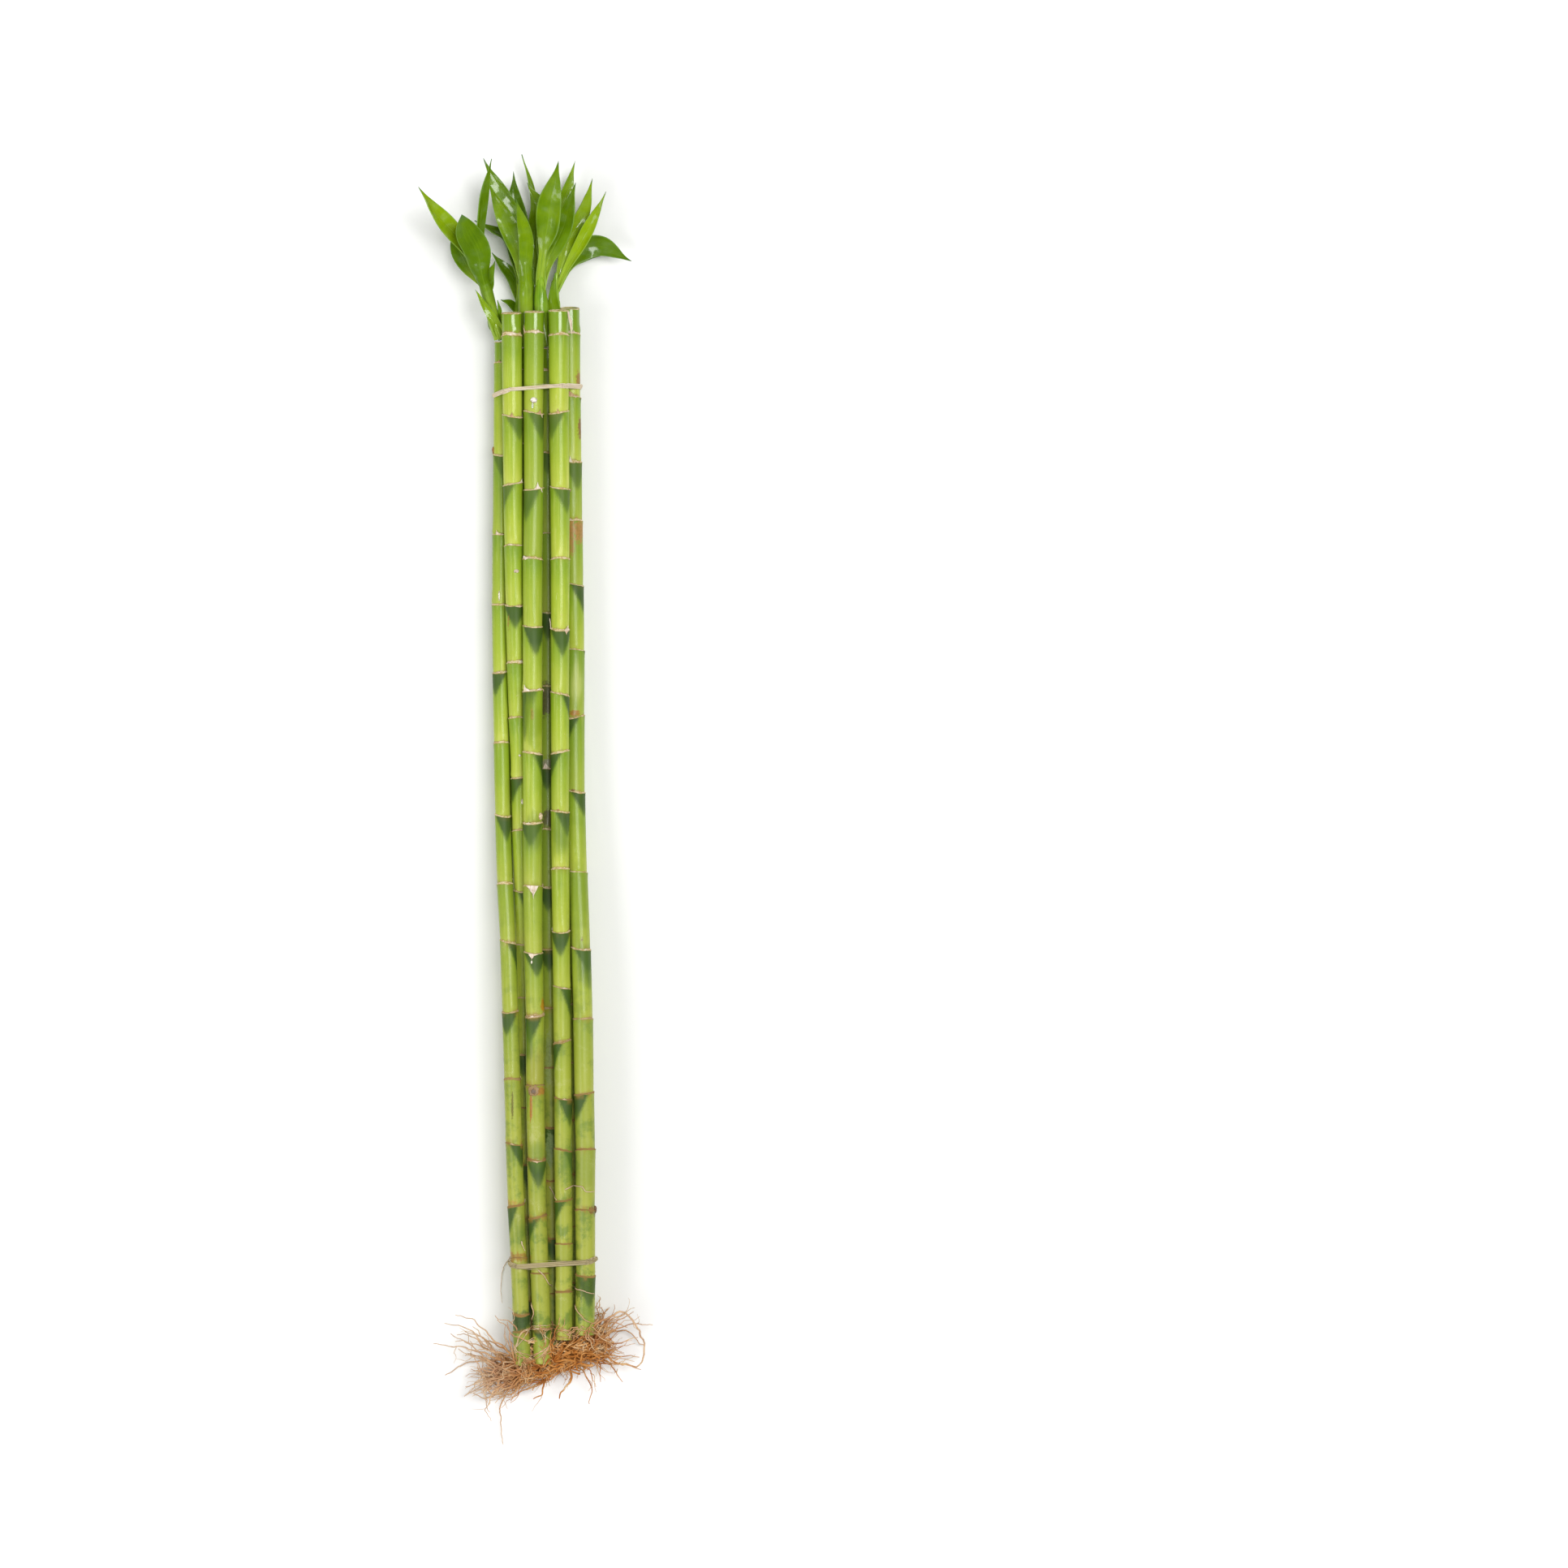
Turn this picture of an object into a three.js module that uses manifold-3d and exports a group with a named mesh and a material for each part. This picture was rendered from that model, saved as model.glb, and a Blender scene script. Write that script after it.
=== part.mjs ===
// Lucky bamboo: ten bare-root canes held in a bundle by two ties, lying on a flat surface.
// Millimetres. +Y runs along the canes towards the leaves, +X to the right, +Z up off the surface.
// The origin is the middle of the part's box, on the surface.

import * as THREE from 'three';
import { mergeVertices } from 'three/addons/utils/BufferGeometryUtils.js';
import Module from 'manifold-3d';

const wasm = await Module();
wasm.setup();

// Room left between two pieces that touch.
const GAP = 0.3;

// Where the two ties cross the bundle, how wide and thick their fibre is, and how much they slope.
const UPPER_TIE = { along: 162, width: 2.4, slope: 0.1 };
const LOWER_TIE = { along: -184, width: 2.6, slope: 0.02 };
const TIE_THICKNESS = 0.8;

// A cane's centre line and radius are given every STEP mm along the bundle, from FIRST to FIRST + 6 STEP.
const FIRST = -240;
const STEP = 80;
const CANE_SIDES = 8;
const HIDDEN_RADIUS = 3.7;

// At a joint ring the cane steps out from its narrow neck above to its widest at the ring.
const RING_SWELL = 1.04;
const NECK = 0.95;
const NECK_ABOVE = 0.9;

// Joint rings of a cane that is mostly hidden: the joints get shorter from the top down.
const TOP_JOINT = 31;
const JOINT_SHRINK = 0.75;
const STUB_ABOVE_RING = 9;
const STUB_BELOW_RING = 6;
const JOINT_VARIES = 1.5;
const RING_SEED = 97;

// Leaf blades.
const BLADE_THICKNESS = 0.7;
const BLADE_FOLD = 0.16;

// The mat of roots below the cut ends.
const ROOT_SEED = 4711;
const FINE_ROOT = 0.55;
const MAT_TOP = -195;
const ROOM_FOR_RINGS = 0.15;
const CORE = { left: [-15, -228.5, 13], right: [21, -218, 13], depth: 4.8, height: 10.5 };

// x and z are the centre line's places across the bundle and off the surface, r the radius.
// top and bottom are the ends, rings the joint rings, face the tilt of the upper cut.
const CANES = {
  a: {
    x: [-4.6, -7.8, -10.2, -13.7, -14.5, -13.7, -12.5],
    z: [20.7, 21.2, 20.4, 14.6, 12.6, 12.6, 12.6],
    r: [3.3, 3.4, 3.3, 3.15, 3.3, 3.4, 3.4],
    top: 182.5,
    bottom: -224.5,
    rings: [
      174, 137.5, 105.5, 77.5, 51, 22.5, -6, -33.5, -56.5, -84, -111, -136.5, -161, -182, -204, -211.5,
    ],
  },
  b: {
    x: [-2.1, -3.9, -5.4, -6.5, -8.6, -9.6, -10],
    z: [13, 13.4, 13.8, 14.7, 17.7, 20.3, 20.6],
    r: [3.6, 3.6, 3.6, 3.6, 3.85, 4.03, 4.03],
    top: 193.5,
    bottom: -219,
    rings: [
      184.5, 152.5, 125.5, 101, 77.5, 54.5, 32.5, 9, -12.5, -36.5, -58, -79, -101, -123, -145, -167,
      -199,
    ],
  },
  c: {
    x: [3.4, 0.6, -0.6, -1.4, -1.2, -0.8, -0.6],
    z: [20, 21.3, 21.4, 21.4, 21.6, 20.4, 20.4],
    r: [3.85, 3.75, 3.8, 3.95, 4, 4.03, 4],
    top: 194,
    bottom: -224,
    rings: [
      185.5, 154, 123.5, 95.5, 69, 43.5, 18.5, -9, -34.5, -60.5, -85.5, -113.5, -142.5, -165.5, -189.5,
      -209.5,
    ],
  },
  d: {
    x: [10.9, 11.1, 10.2, 9.7, 9.7, 9.1, 8.9],
    z: [19.8, 21.3, 21.4, 21.4, 21.3, 20.4, 20.4],
    r: [3.4, 3.55, 3.55, 3.7, 3.8, 4.05, 4.05],
    top: 194.5,
    bottom: -214.5,
    rings: [
      184.5, 154, 124, 95.5, 68, 42, 19, -4.5, -27.5, -52, -74.5, -96, -118.5, -139, -159, -176.5, -195.5,
    ],
  },
  e: {
    x: [19.4, 19.7, 18.5, 15.5, 14.8, 13.5, 13],
    z: [20.8, 21.2, 20.6, 15.1, 12.9, 12.6, 12.4],
    r: [3.95, 4, 4, 4, 4, 4, 4],
    top: 196,
    bottom: -212.5,
    face: 0.2,
    rings: [185.5, 158.5, 135, 111, 86, 59.5, 33, 3.5, -29, -59, -87, -116.5, -139, -163, -190],
  },
  f: {
    x: [6.5, 6, 5.2, 4.4, 4.5, 4.4, 4.4],
    z: [13, 13.4, 13.6, 13.6, 12.8, 12.6, 12.6],
    top: 180,
    bottom: -217,
    rings: [171, 139, 106, 75, 45, 13, -12, -34.5, -59, -83.5, -107, -130, -152, -174, -197],
  },
  g: {
    x: [8.6, 4.5, 0.1, -3.4, -4.6, -4.7, -4.7],
    z: [5.6, 4.8, 4.7, 5, 9.6, 12.6, 12.6],
    top: 180,
    bottom: -221,
  },
  h: {
    x: [0, -4, -8.2, -12.2, -11.1, -9.2, -9],
    z: [5.6, 4.9, 4.7, 4.7, 4.5, 4.8, 4.8],
    top: 176,
    bottom: -216,
  },
  i: {
    x: [17.2, 13.1, 8.4, 5, 2.1, -0.2, -0.2],
    z: [5.6, 4.8, 4.8, 4.8, 4.6, 4.8, 4.8],
    top: 178,
    bottom: -219,
  },
  j: {
    x: [16.4, 15.4, 15, 13.5, 10.8, 8.9, 8.9],
    z: [13.2, 13.5, 12.4, 4.9, 4.6, 4.8, 4.8],
    top: 178,
    bottom: -215,
  },
};

// A leaf's width is at its widest, and its turn is the roll of its face from straight up, in degrees.
// Its path runs from its root in the stem to its tip.
const leaf = (width, turn, ...path) => ({ width, turn, path });

// A shoot is a stem with its leaves. The stem's path runs from its foot on the cut cane upwards.
const SHOOTS = {
  a: {
    stem: [
      [-14.4, 183.2, 12.8],
      [-15.4, 186.6, 13.2],
      [-17.6, 192.7, 14],
      [-20.2, 202.4, 15.5],
      [-22.2, 209.5, 17],
    ],
    radii: [1.6, 2, 2.3, 2.6, 1],
    leaves: [
      leaf(3.9, 20, [-15.6, 188.5, 13.5], [-18.2, 194.7, 14.5], [-21.5, 199.2, 15.5], [-24.2, 202.9, 17]),
      leaf(2.6, 10, [-15.4, 185.6, 13], [-17.8, 188.6, 12], [-19.7, 192, 12]),
      leaf(2.8, -30, [-16.2, 189.4, 14], [-15.0, 194.4, 15.5], [-15.8, 199.5, 17]),
      leaf(11.6, 0, [-19.9, 203, 15.8], [-22.2, 211.5, 19], [-24.9, 220.5, 24], [-28.9, 233.1, 31]),
      leaf(7.4, 25, [-20.4, 203, 15.5], [-27.6, 218.5, 17], [-36, 229.5, 19], [-46.5, 243.2, 24]),
      leaf(6.2, -20, [-20.4, 204, 15], [-28.2, 213, 12.5], [-32, 221, 11], [-30.5, 232.1, 11]),
      leaf(3.6, 10, [-19.2, 198, 15.2], [-18.5, 207.3, 16.5], [-16.4, 214.4, 18.5]),
      leaf(7.5, 68, [-20.8, 205, 16], [-20.5, 221.1, 20], [-20.2, 236, 26], [-17.4, 253.8, 29]),
    ],
  },
  g: {
    stem: [[-4.7, 180.4, 12.6], [-4.6, 190, 13], [-4.4, 200, 13.4], [-4.3, 208, 13.8]],
    radii: [2.5, 2.8, 2.9, 1],
    leaves: [
      leaf(8.4, 10, [-4.6, 202, 13.2], [-8, 223, 14], [-13.6, 239, 15], [-21.1, 255.4, 16]),
      leaf(7.6, -10, [-4.4, 202, 13.8], [-7, 217, 16], [-12.8, 231, 19], [-19, 245.5, 20.5]),
      leaf(6.2, 10, [-4.4, 199, 14.6], [-4.2, 212, 18.5], [-4.4, 225, 24], [-7.5, 237.7, 30]),
    ],
  },
  f: {
    stem: [[4.3, 180.8, 12.6], [2.5, 190, 13.1], [1.6, 200, 13.6], [1.8, 210, 14]],
    radii: [2.2, 2.5, 2.6, 0.9],
    leaves: [
      leaf(10.8, -5, [1.8, 205, 14.4], [2.9, 220, 18.5], [5.8, 237, 24.5], [9.3, 253, 29]),
      leaf(8, -12, [1.9, 202, 14], [5.2, 216, 17], [11.6, 231, 19.2], [15.8, 245.2, 20.5]),
      leaf(7.5, 12, [1.8, 203, 13.8], [3.4, 222, 13.8], [6, 236, 13.6], [8.5, 248, 13.4]),
    ],
  },
  j: {
    stem: [[8.8, 179.2, 5], [7.4, 190, 8.5], [6.9, 200, 11.8], [7.8, 210, 12.6]],
    radii: [1.9, 2, 2.1, 0.8],
    leaves: [
      leaf(6.2, 15, [7.6, 204, 12.3], [12, 221, 13], [18.2, 233.5, 13.8], [22.2, 247.4, 15]),
      leaf(6, -10, [7.4, 202, 12.6], [12.7, 215.3, 14.6], [20.5, 228, 18], [27.8, 241.5, 22]),
      leaf(8.4, 8, [7.6, 204, 11.8], [14.5, 217.5, 10.8], [25, 220.5, 9.8], [37.7, 215.1, 8.8]),
      leaf(6, -10, [7.8, 202, 11.4], [12.5, 212.5, 8], [18.5, 216, 5], [25, 217.5, 3.5]),
      leaf(4.4, 0, [6.9, 194, 11], [6.9, 202, 14.4], [7.3, 209.5, 16]),
    ],
  },
  h: {
    stem: [[-9.1, 176.4, 4.9], [-8.2, 188, 5.4], [-6.8, 200, 6], [-6.6, 210, 6.8]],
    radii: [1.8, 2, 2, 0.8],
    leaves: [
      leaf(5.2, 25, [-6.9, 196, 6], [-9.4, 206.6, 6.7], [-13.5, 212.8, 7.8], [-18.1, 218.5, 8.5]),
      leaf(3, 30, [-7.6, 192, 5.8], [-10.2, 197.8, 7.4], [-14.5, 199.7, 9]),
      leaf(5.5, 40, [-6.6, 204, 6.5], [-11, 222.6, 7], [-17.6, 227.6, 7.7], [-25, 231.3, 8.5]),
      leaf(8.5, 0, [-6.6, 204, 6], [-9, 222, 4.5], [-12.5, 234, 3.6], [-16, 246, 3.5]),
    ],
  },
  i: {
    stem: [[-0.2, 178.4, 4.9], [-0.6, 190, 5.3], [-1.2, 203, 6.3], [-1.8, 213, 7.4]],
    radii: [1.8, 2.1, 2.1, 0.8],
    leaves: [
      leaf(7.4, 0, [-1.6, 206, 7], [-5.2, 221, 8.5], [-8.2, 236.5, 9.7], [-9.5, 250.7, 10.5]),
      leaf(5.6, 62, [-1.7, 207, 7.2], [-1, 224.4, 7], [-1.7, 241, 6.5], [-6.3, 258, 6]),
      leaf(9, -10, [-1.6, 206, 7.2], [0.2, 221, 9], [0.8, 235, 10.4], [-3.9, 246.2, 11]),
      leaf(6.8, 10, [-1.5, 206, 6.8], [4.6, 224, 6.5], [10.4, 239, 6.5], [15, 255.3, 7]),
      leaf(8.5, 0, [-1.3, 202, 6], [1.5, 218, 4.2], [4.5, 232, 3.4], [6.5, 246, 3.2]),
    ],
  },
};

// Width along a leaf as shares of its widest, from its root on the stem to its tip.
const LEAF_OUTLINE = [0.34, 0.4, 0.54, 0.76, 0.93, 1, 0.86, 0.5, 0.03];

// The roots that stand clear of the mat: the radius at both ends and the path from inside it to the tip.
const root = (from, to, ...path) => ({ from, to, path });
const LONG_ROOTS = [
  root(0.95, 0.35, [-8, -226, 12], [-24, -219.5, 15], [-33, -218, 12], [-40.8, -217.6, 9]),
  root(0.9, 0.35, [-6, -224, 18], [-17, -214, 22], [-24, -207, 24], [-31.5, -204.5, 22]),
  root(0.9, 0.4, [-8, -229, 9], [-20, -224, 5], [-29, -226, 2.2], [-37, -231, 1.2]),
  root(1, 0.45, [-4, -230, 10], [-15, -237, 7], [-21, -239.5, 5], [-26, -238, 4]),
  root(0.8, 0.4, [-5, -228, 7], [-14, -240, 4], [-14.6, -249, 2.4], [-14.2, -258.2, 1.4]),
  root(0.85, 0.7, [14, -221, 17], [25, -208, 22], [35, -204, 22], [42.6, -216, 19], [39, -226, 15],
    [23, -220, 12]),
  root(0.9, 0.35, [14, -223, 14], [28, -213, 17], [37, -209, 15], [46.4, -209.5, 12]),
  root(0.9, 0.4, [14, -222, 10], [27, -214, 6], [35, -213, 3.5], [42.5, -219, 2]),
  root(1, 0.4, [14, -223, 12], [25, -223, 9], [30.5, -227.5, 6], [34.3, -233, 4]),
  root(1.1, 0.6, [13, -225, 14], [13.5, -231.5, 12], [9.5, -236, 10], [9, -239, 12]),
  root(0.7, 0.35, [14, -224, 9], [19.5, -231, 6], [21.5, -236, 5], [20.8, -241, 5]),
  root(1, 0.5, [6, -226, 14], [2, -236, 11], [-1, -239.5, 9]),
];

// Fans of fine roots: how many, the box that they leave the mat in, and the box of their tips.
const ROOT_FANS = [
  { count: 14, from: [[-12, -231, 6], [-4, -222, 20]], tips: [[-36, -236, 1.5], [-20, -206, 28]] },
  { count: 14, from: [[11, -222, 6], [17, -217, 20]], tips: [[27, -230, 1.5], [42, -200, 28]] },
  { count: 13, from: [[4, -224, 17], [17, -217, 22]], tips: [[-30, -241, 3], [-10, -232, 24]] },
  { count: 8, from: [[2, -225, 5], [16, -218, 9]], tips: [[-28, -240, 1.5], [-8, -230, 6]] },
  { count: 7, from: [[-8, -228, 19], [16, -218, 21]], tips: [[-18, -211, 26], [26, -203, 30]] },
];

const material = (color, roughness) => new THREE.MeshStandardMaterial({ color, roughness, metalness: 0 });

// Park and Miller's generator, so that the same seed always gives the same roots.
function seeded(seed) {
  let state = seed;
  return (low = 0, high = 1) => {
    state = (state * 16807) % 2147483647;
    return low + (high - low) * (state / 2147483647);
  };
}

const mix = (from, to, share) => from + (to - from) * share;
const vector = (values) => new THREE.Vector3(...values);
const smooth = (points) => new THREE.CatmullRomCurve3(points.map(vector), false, 'catmullrom', 0.5);

// A closed skin over sections with equal numbers of points, capped flat at both ends.
function loft(sections) {
  const sides = sections[0].length;
  const places = sections.flat().flatMap((point) => point.toArray());
  const index = [];
  for (let row = 0; row < sections.length - 1; row += 1) {
    for (let side = 0; side < sides; side += 1) {
      const a = row * sides + side;
      const b = row * sides + ((side + 1) % sides);
      index.push(a, b, b + sides, a, b + sides, a + sides);
    }
  }
  const last = (sections.length - 1) * sides;
  for (let side = 1; side < sides - 1; side += 1) {
    index.push(0, side + 1, side, last, last + side, last + side + 1);
  }
  const geometry = new THREE.BufferGeometry();
  geometry.setAttribute('position', new THREE.Float32BufferAttribute(places, 3));
  geometry.setIndex(index);
  return outward(geometry);
}

// Turns a closed skin's faces round where they point inwards.
function outward(geometry) {
  const place = geometry.getAttribute('position');
  const index = geometry.getIndex().array;
  const corner = (at) => new THREE.Vector3().fromBufferAttribute(place, index[at]);
  let volume = 0;
  for (let at = 0; at < index.length; at += 3) {
    volume += corner(at).dot(corner(at + 1).cross(corner(at + 2)));
  }
  if (volume < 0) {
    for (let at = 0; at < index.length; at += 3) {
      const swap = index[at + 1];
      index[at + 1] = index[at + 2];
      index[at + 2] = swap;
    }
  }
  return geometry;
}

// A round tube of changing radius along a path, with its sections square to the path.
function tube(path, radii, sides, steps) {
  const curve = smooth(path);
  const frames = curve.computeFrenetFrames(steps, false);
  const sections = [];
  for (let step = 0; step <= steps; step += 1) {
    const share = step / steps;
    const centre = curve.getPointAt(share);
    const at = share * (radii.length - 1);
    const low = Math.min(Math.floor(at), radii.length - 2);
    const radius = mix(radii[low], radii[low + 1], at - low);
    const section = [];
    for (let side = 0; side < sides; side += 1) {
      const angle = (side / sides) * 2 * Math.PI;
      const point = centre.clone();
      point.addScaledVector(frames.normals[step], radius * Math.cos(angle));
      point.addScaledVector(frames.binormals[step], radius * Math.sin(angle));
      section.push(point);
    }
    sections.push(section);
  }
  return loft(sections);
}

// A cane's centre and radius at one place along the bundle.
function caneAt(cane, along) {
  const share = (along - FIRST) / (STEP * 6);
  const radii = cane.r ?? cane.x.map(() => HIDDEN_RADIUS);
  const line = smooth(cane.x.map((x, at) => [x, FIRST + STEP * at, cane.z[at]]));
  const girth = smooth(radii.map((r, at) => [r, FIRST + STEP * at, 0]));
  const centre = line.getPoint(share);
  return { x: centre.x, z: centre.z, r: girth.getPoint(share).x };
}

// The joint rings of a cane, as given or spaced from the top down by the rule for hidden ones.
function ringsOf(cane, random) {
  if (cane.rings) {
    return cane.rings;
  }
  const rings = [];
  let joint = TOP_JOINT;
  let ring = cane.top - STUB_ABOVE_RING;
  while (ring > cane.bottom + STUB_BELOW_RING) {
    rings.push(ring);
    ring -= joint + random(-JOINT_VARIES, JOINT_VARIES);
    joint -= JOINT_SHRINK;
  }
  return rings;
}

// The cane's skin from its upper cut to its lower one, stepping out at each ring.
function caneSkin(cane, rings, extra = 0) {
  const stations = [[cane.top, 1]];
  for (const ring of rings) {
    stations.push([ring + NECK_ABOVE, NECK], [ring, RING_SWELL]);
  }
  stations.push([cane.bottom, NECK]);
  const sections = stations.map(([along, swell]) => {
    const { x, z, r } = caneAt(cane, along);
    const radius = r * swell + extra;
    const slope = along === cane.top ? cane.face ?? 0 : 0;
    const section = [];
    for (let side = 0; side < CANE_SIDES; side += 1) {
      const angle = ((side + 0.5) / CANE_SIDES) * 2 * Math.PI;
      const rise = radius * Math.sin(angle);
      section.push(new THREE.Vector3(x + radius * Math.cos(angle), along - slope * rise, z + rise));
    }
    return section;
  });
  return loft(sections);
}

// A leaf blade: a thin channel along its path, wide where LEAF_OUTLINE says, closed to a point at the tip.
function blade({ path, width, turn }) {
  const curve = smooth(path);
  const up = new THREE.Vector3(0, 0, 1);
  const sections = LEAF_OUTLINE.map((share, step) => {
    const along = step / (LEAF_OUTLINE.length - 1);
    const centre = curve.getPointAt(along);
    const tangent = curve.getTangentAt(along);
    const across = new THREE.Vector3().crossVectors(tangent, up).normalize();
    const face = new THREE.Vector3().crossVectors(across, tangent).normalize();
    const roll = THREE.MathUtils.degToRad(turn);
    const side = across.clone().applyAxisAngle(tangent, roll);
    const normal = face.clone().applyAxisAngle(tangent, roll);
    const half = (width * share) / 2;
    const dip = half * 2 * BLADE_FOLD;
    const thick = BLADE_THICKNESS / 2;
    const place = (sideways, off) =>
      centre.clone().addScaledVector(side, sideways).addScaledVector(normal, off);
    return [
      place(-half, dip / 2 - thick),
      place(0, -dip / 2 - thick),
      place(half, dip / 2 - thick),
      place(half, dip / 2 + thick),
      place(0, -dip / 2 + thick),
      place(-half, dip / 2 + thick),
    ];
  });
  return loft(sections);
}

// The outline of a band drawn tight round the canes and their rings, seen along the bundle.
function roundCanes(along, off, count) {
  const circles = Object.values(CANES).map((cane) => {
    const { x, z, r } = caneAt(cane, along);
    return { x, z, r: r * RING_SWELL };
  });
  const outline = [];
  for (let step = 0; step < count; step += 1) {
    const angle = ((step + 0.5) / count) * 2 * Math.PI;
    const reach = ({ x, z, r }) => x * Math.cos(angle) + z * Math.sin(angle) + r;
    const furthest = circles.reduce((best, circle) => (reach(circle) > reach(best) ? circle : best));
    const radius = furthest.r + off;
    outline.push([furthest.x + radius * Math.cos(angle), furthest.z + radius * Math.sin(angle)]);
  }
  return outline;
}

// A closed ring whose section runs round each point of an outline and joins up with itself.
function closedRing(sections) {
  const sides = sections[0].length;
  const count = sections.length;
  const places = sections.flat().flatMap((point) => point.toArray());
  const index = [];
  for (let row = 0; row < count; row += 1) {
    for (let side = 0; side < sides; side += 1) {
      const next = ((row + 1) % count) * sides;
      const a = row * sides + side;
      const b = row * sides + ((side + 1) % sides);
      const c = next + ((side + 1) % sides);
      const d = next + side;
      index.push(a, b, c, a, c, d);
    }
  }
  const geometry = new THREE.BufferGeometry();
  geometry.setAttribute('position', new THREE.Float32BufferAttribute(places, 3));
  geometry.setIndex(index);
  return outward(geometry);
}

// A tie: a flat band pulled tight round the canes, its underside flat on the surface.
function tie({ along, width, slope }) {
  const points = 32;
  const inner = roundCanes(along, GAP, points);
  const outer = roundCanes(along, GAP + TIE_THICKNESS, points);
  const sections = inner.map(([innerX, innerZ], at) => {
    const [outerX, outerZ] = outer[at];
    const grounded = innerZ < TIE_THICKNESS + GAP ? 0 : Math.max(outerZ, 0);
    const y = along + slope * outerX;
    return [
      new THREE.Vector3(innerX, y - width / 2, innerZ),
      new THREE.Vector3(outerX, y - width / 2, grounded),
      new THREE.Vector3(outerX, y + width / 2, grounded),
      new THREE.Vector3(innerX, y + width / 2, innerZ),
    ];
  });
  return closedRing(sections);
}

// Joining and cutting of closed skins.
function solid(geometry) {
  const bare = new THREE.BufferGeometry();
  bare.setAttribute('position', geometry.getAttribute('position'));
  bare.setIndex(geometry.getIndex());
  const merged = mergeVertices(bare, 1e-4);
  const vertProperties = new Float32Array(merged.getAttribute('position').array);
  const triVerts = new Uint32Array(merged.getIndex().array);
  return new wasm.Manifold(new wasm.Mesh({ numProp: 3, vertProperties, triVerts }));
}

function skin(body) {
  const { vertProperties, triVerts } = body.getMesh();
  const geometry = new THREE.BufferGeometry();
  geometry.setAttribute('position', new THREE.Float32BufferAttribute(vertProperties, 3));
  geometry.setIndex(Array.from(triVerts));
  return geometry;
}

const fused = (geometries) => geometries.map(solid).reduce((whole, piece) => whole.add(piece));

// The largest of the bodies that a cut leaves, without the loose scraps.
const larger = (best, piece) => (piece.volume() > best.volume() ? piece : best);
const largest = (body) => body.decompose().reduce(larger);

// A leafy shoot: its stem and leaves, each leaf's root sunk in the stem.
function shoot({ stem, radii, leaves }) {
  return skin(fused([tube(stem, radii, CANE_SIDES, 6), ...leaves.map(blade)]));
}

// The mat's core: a lumpy slab of packed roots across the cut ends, lower at its left end.
function rootCore() {
  const sections = [];
  const steps = 7;
  for (let step = 0; step <= steps; step += 1) {
    const share = step / steps;
    const bulge = Math.sin(Math.PI * (0.12 + 0.76 * share));
    const centre = vector(CORE.left).lerp(vector(CORE.right), share);
    const section = [];
    for (let side = 0; side < CANE_SIDES; side += 1) {
      const angle = (side / CANE_SIDES) * 2 * Math.PI;
      const lump = 1 + 0.12 * Math.sin(3 * angle + 9 * share);
      const point = centre.clone();
      point.y += CORE.depth * bulge * lump * Math.cos(angle);
      point.z += CORE.height * bulge * lump * Math.sin(angle);
      section.push(point);
    }
    sections.push(section);
  }
  return loft(sections);
}

// One fine root from the mat to a tip, bowed by a random amount on the way.
function fineRoot(fan, random) {
  const pick = ([low, high]) => low.map((value, axis) => random(value, high[axis]));
  const start = pick(fan.from);
  const tip = pick(fan.tips);
  const between = (share, bow) =>
    start.map((value, axis) => mix(value, tip[axis], share) + random(-bow, bow));
  const path = [start, between(0.35, 3), between(0.7, 3.5), tip];
  for (const point of path) {
    point[2] = Math.max(point[2], FINE_ROOT + 0.5);
  }
  return tube(path, [FINE_ROOT + 0.3, FINE_ROOT + 0.1, FINE_ROOT - 0.1], 3, 5);
}

function rootTangle() {
  const random = seeded(ROOT_SEED);
  const strands = LONG_ROOTS.map(({ path, from, to }) => tube(path, [from, to], 3, path.length * 2));
  for (const fan of ROOT_FANS) {
    for (let count = 0; count < fan.count; count += 1) {
      strands.push(fineRoot(fan, random));
    }
  }
  let tangle = fused([rootCore(), ...strands]);
  for (const cane of Object.values(CANES)) {
    const lower = { ...cane, top: MAT_TOP, bottom: cane.bottom - GAP };
    tangle = tangle.subtract(solid(caneSkin(lower, [], GAP + ROOM_FOR_RINGS)));
  }
  return skin(largest(tangle));
}

const bundle = new THREE.Group();
const place = (name, geometry, look) => {
  const mesh = new THREE.Mesh(geometry, look);
  mesh.name = name;
  bundle.add(mesh);
};

const ringRandom = seeded(RING_SEED);
for (const [name, cane] of Object.entries(CANES)) {
  place(`cane_${name}`, caneSkin(cane, ringsOf(cane, ringRandom)), material(0xa9c04c, 0.45));
}
for (const [name, parts] of Object.entries(SHOOTS)) {
  place(`shoot_${name}`, shoot(parts), material(0x5c9a1c, 0.35));
}
place('root_tangle', rootTangle(), material(0xb97c4c, 0.8));
place('tie_upper', tie(UPPER_TIE), material(0xd9c4a0, 0.8));
place('tie_lower', tie(LOWER_TIE), material(0xb59a78, 0.8));

export default bundle;
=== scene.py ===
import math

import bpy
from mathutils import Matrix, Vector, noise


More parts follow.
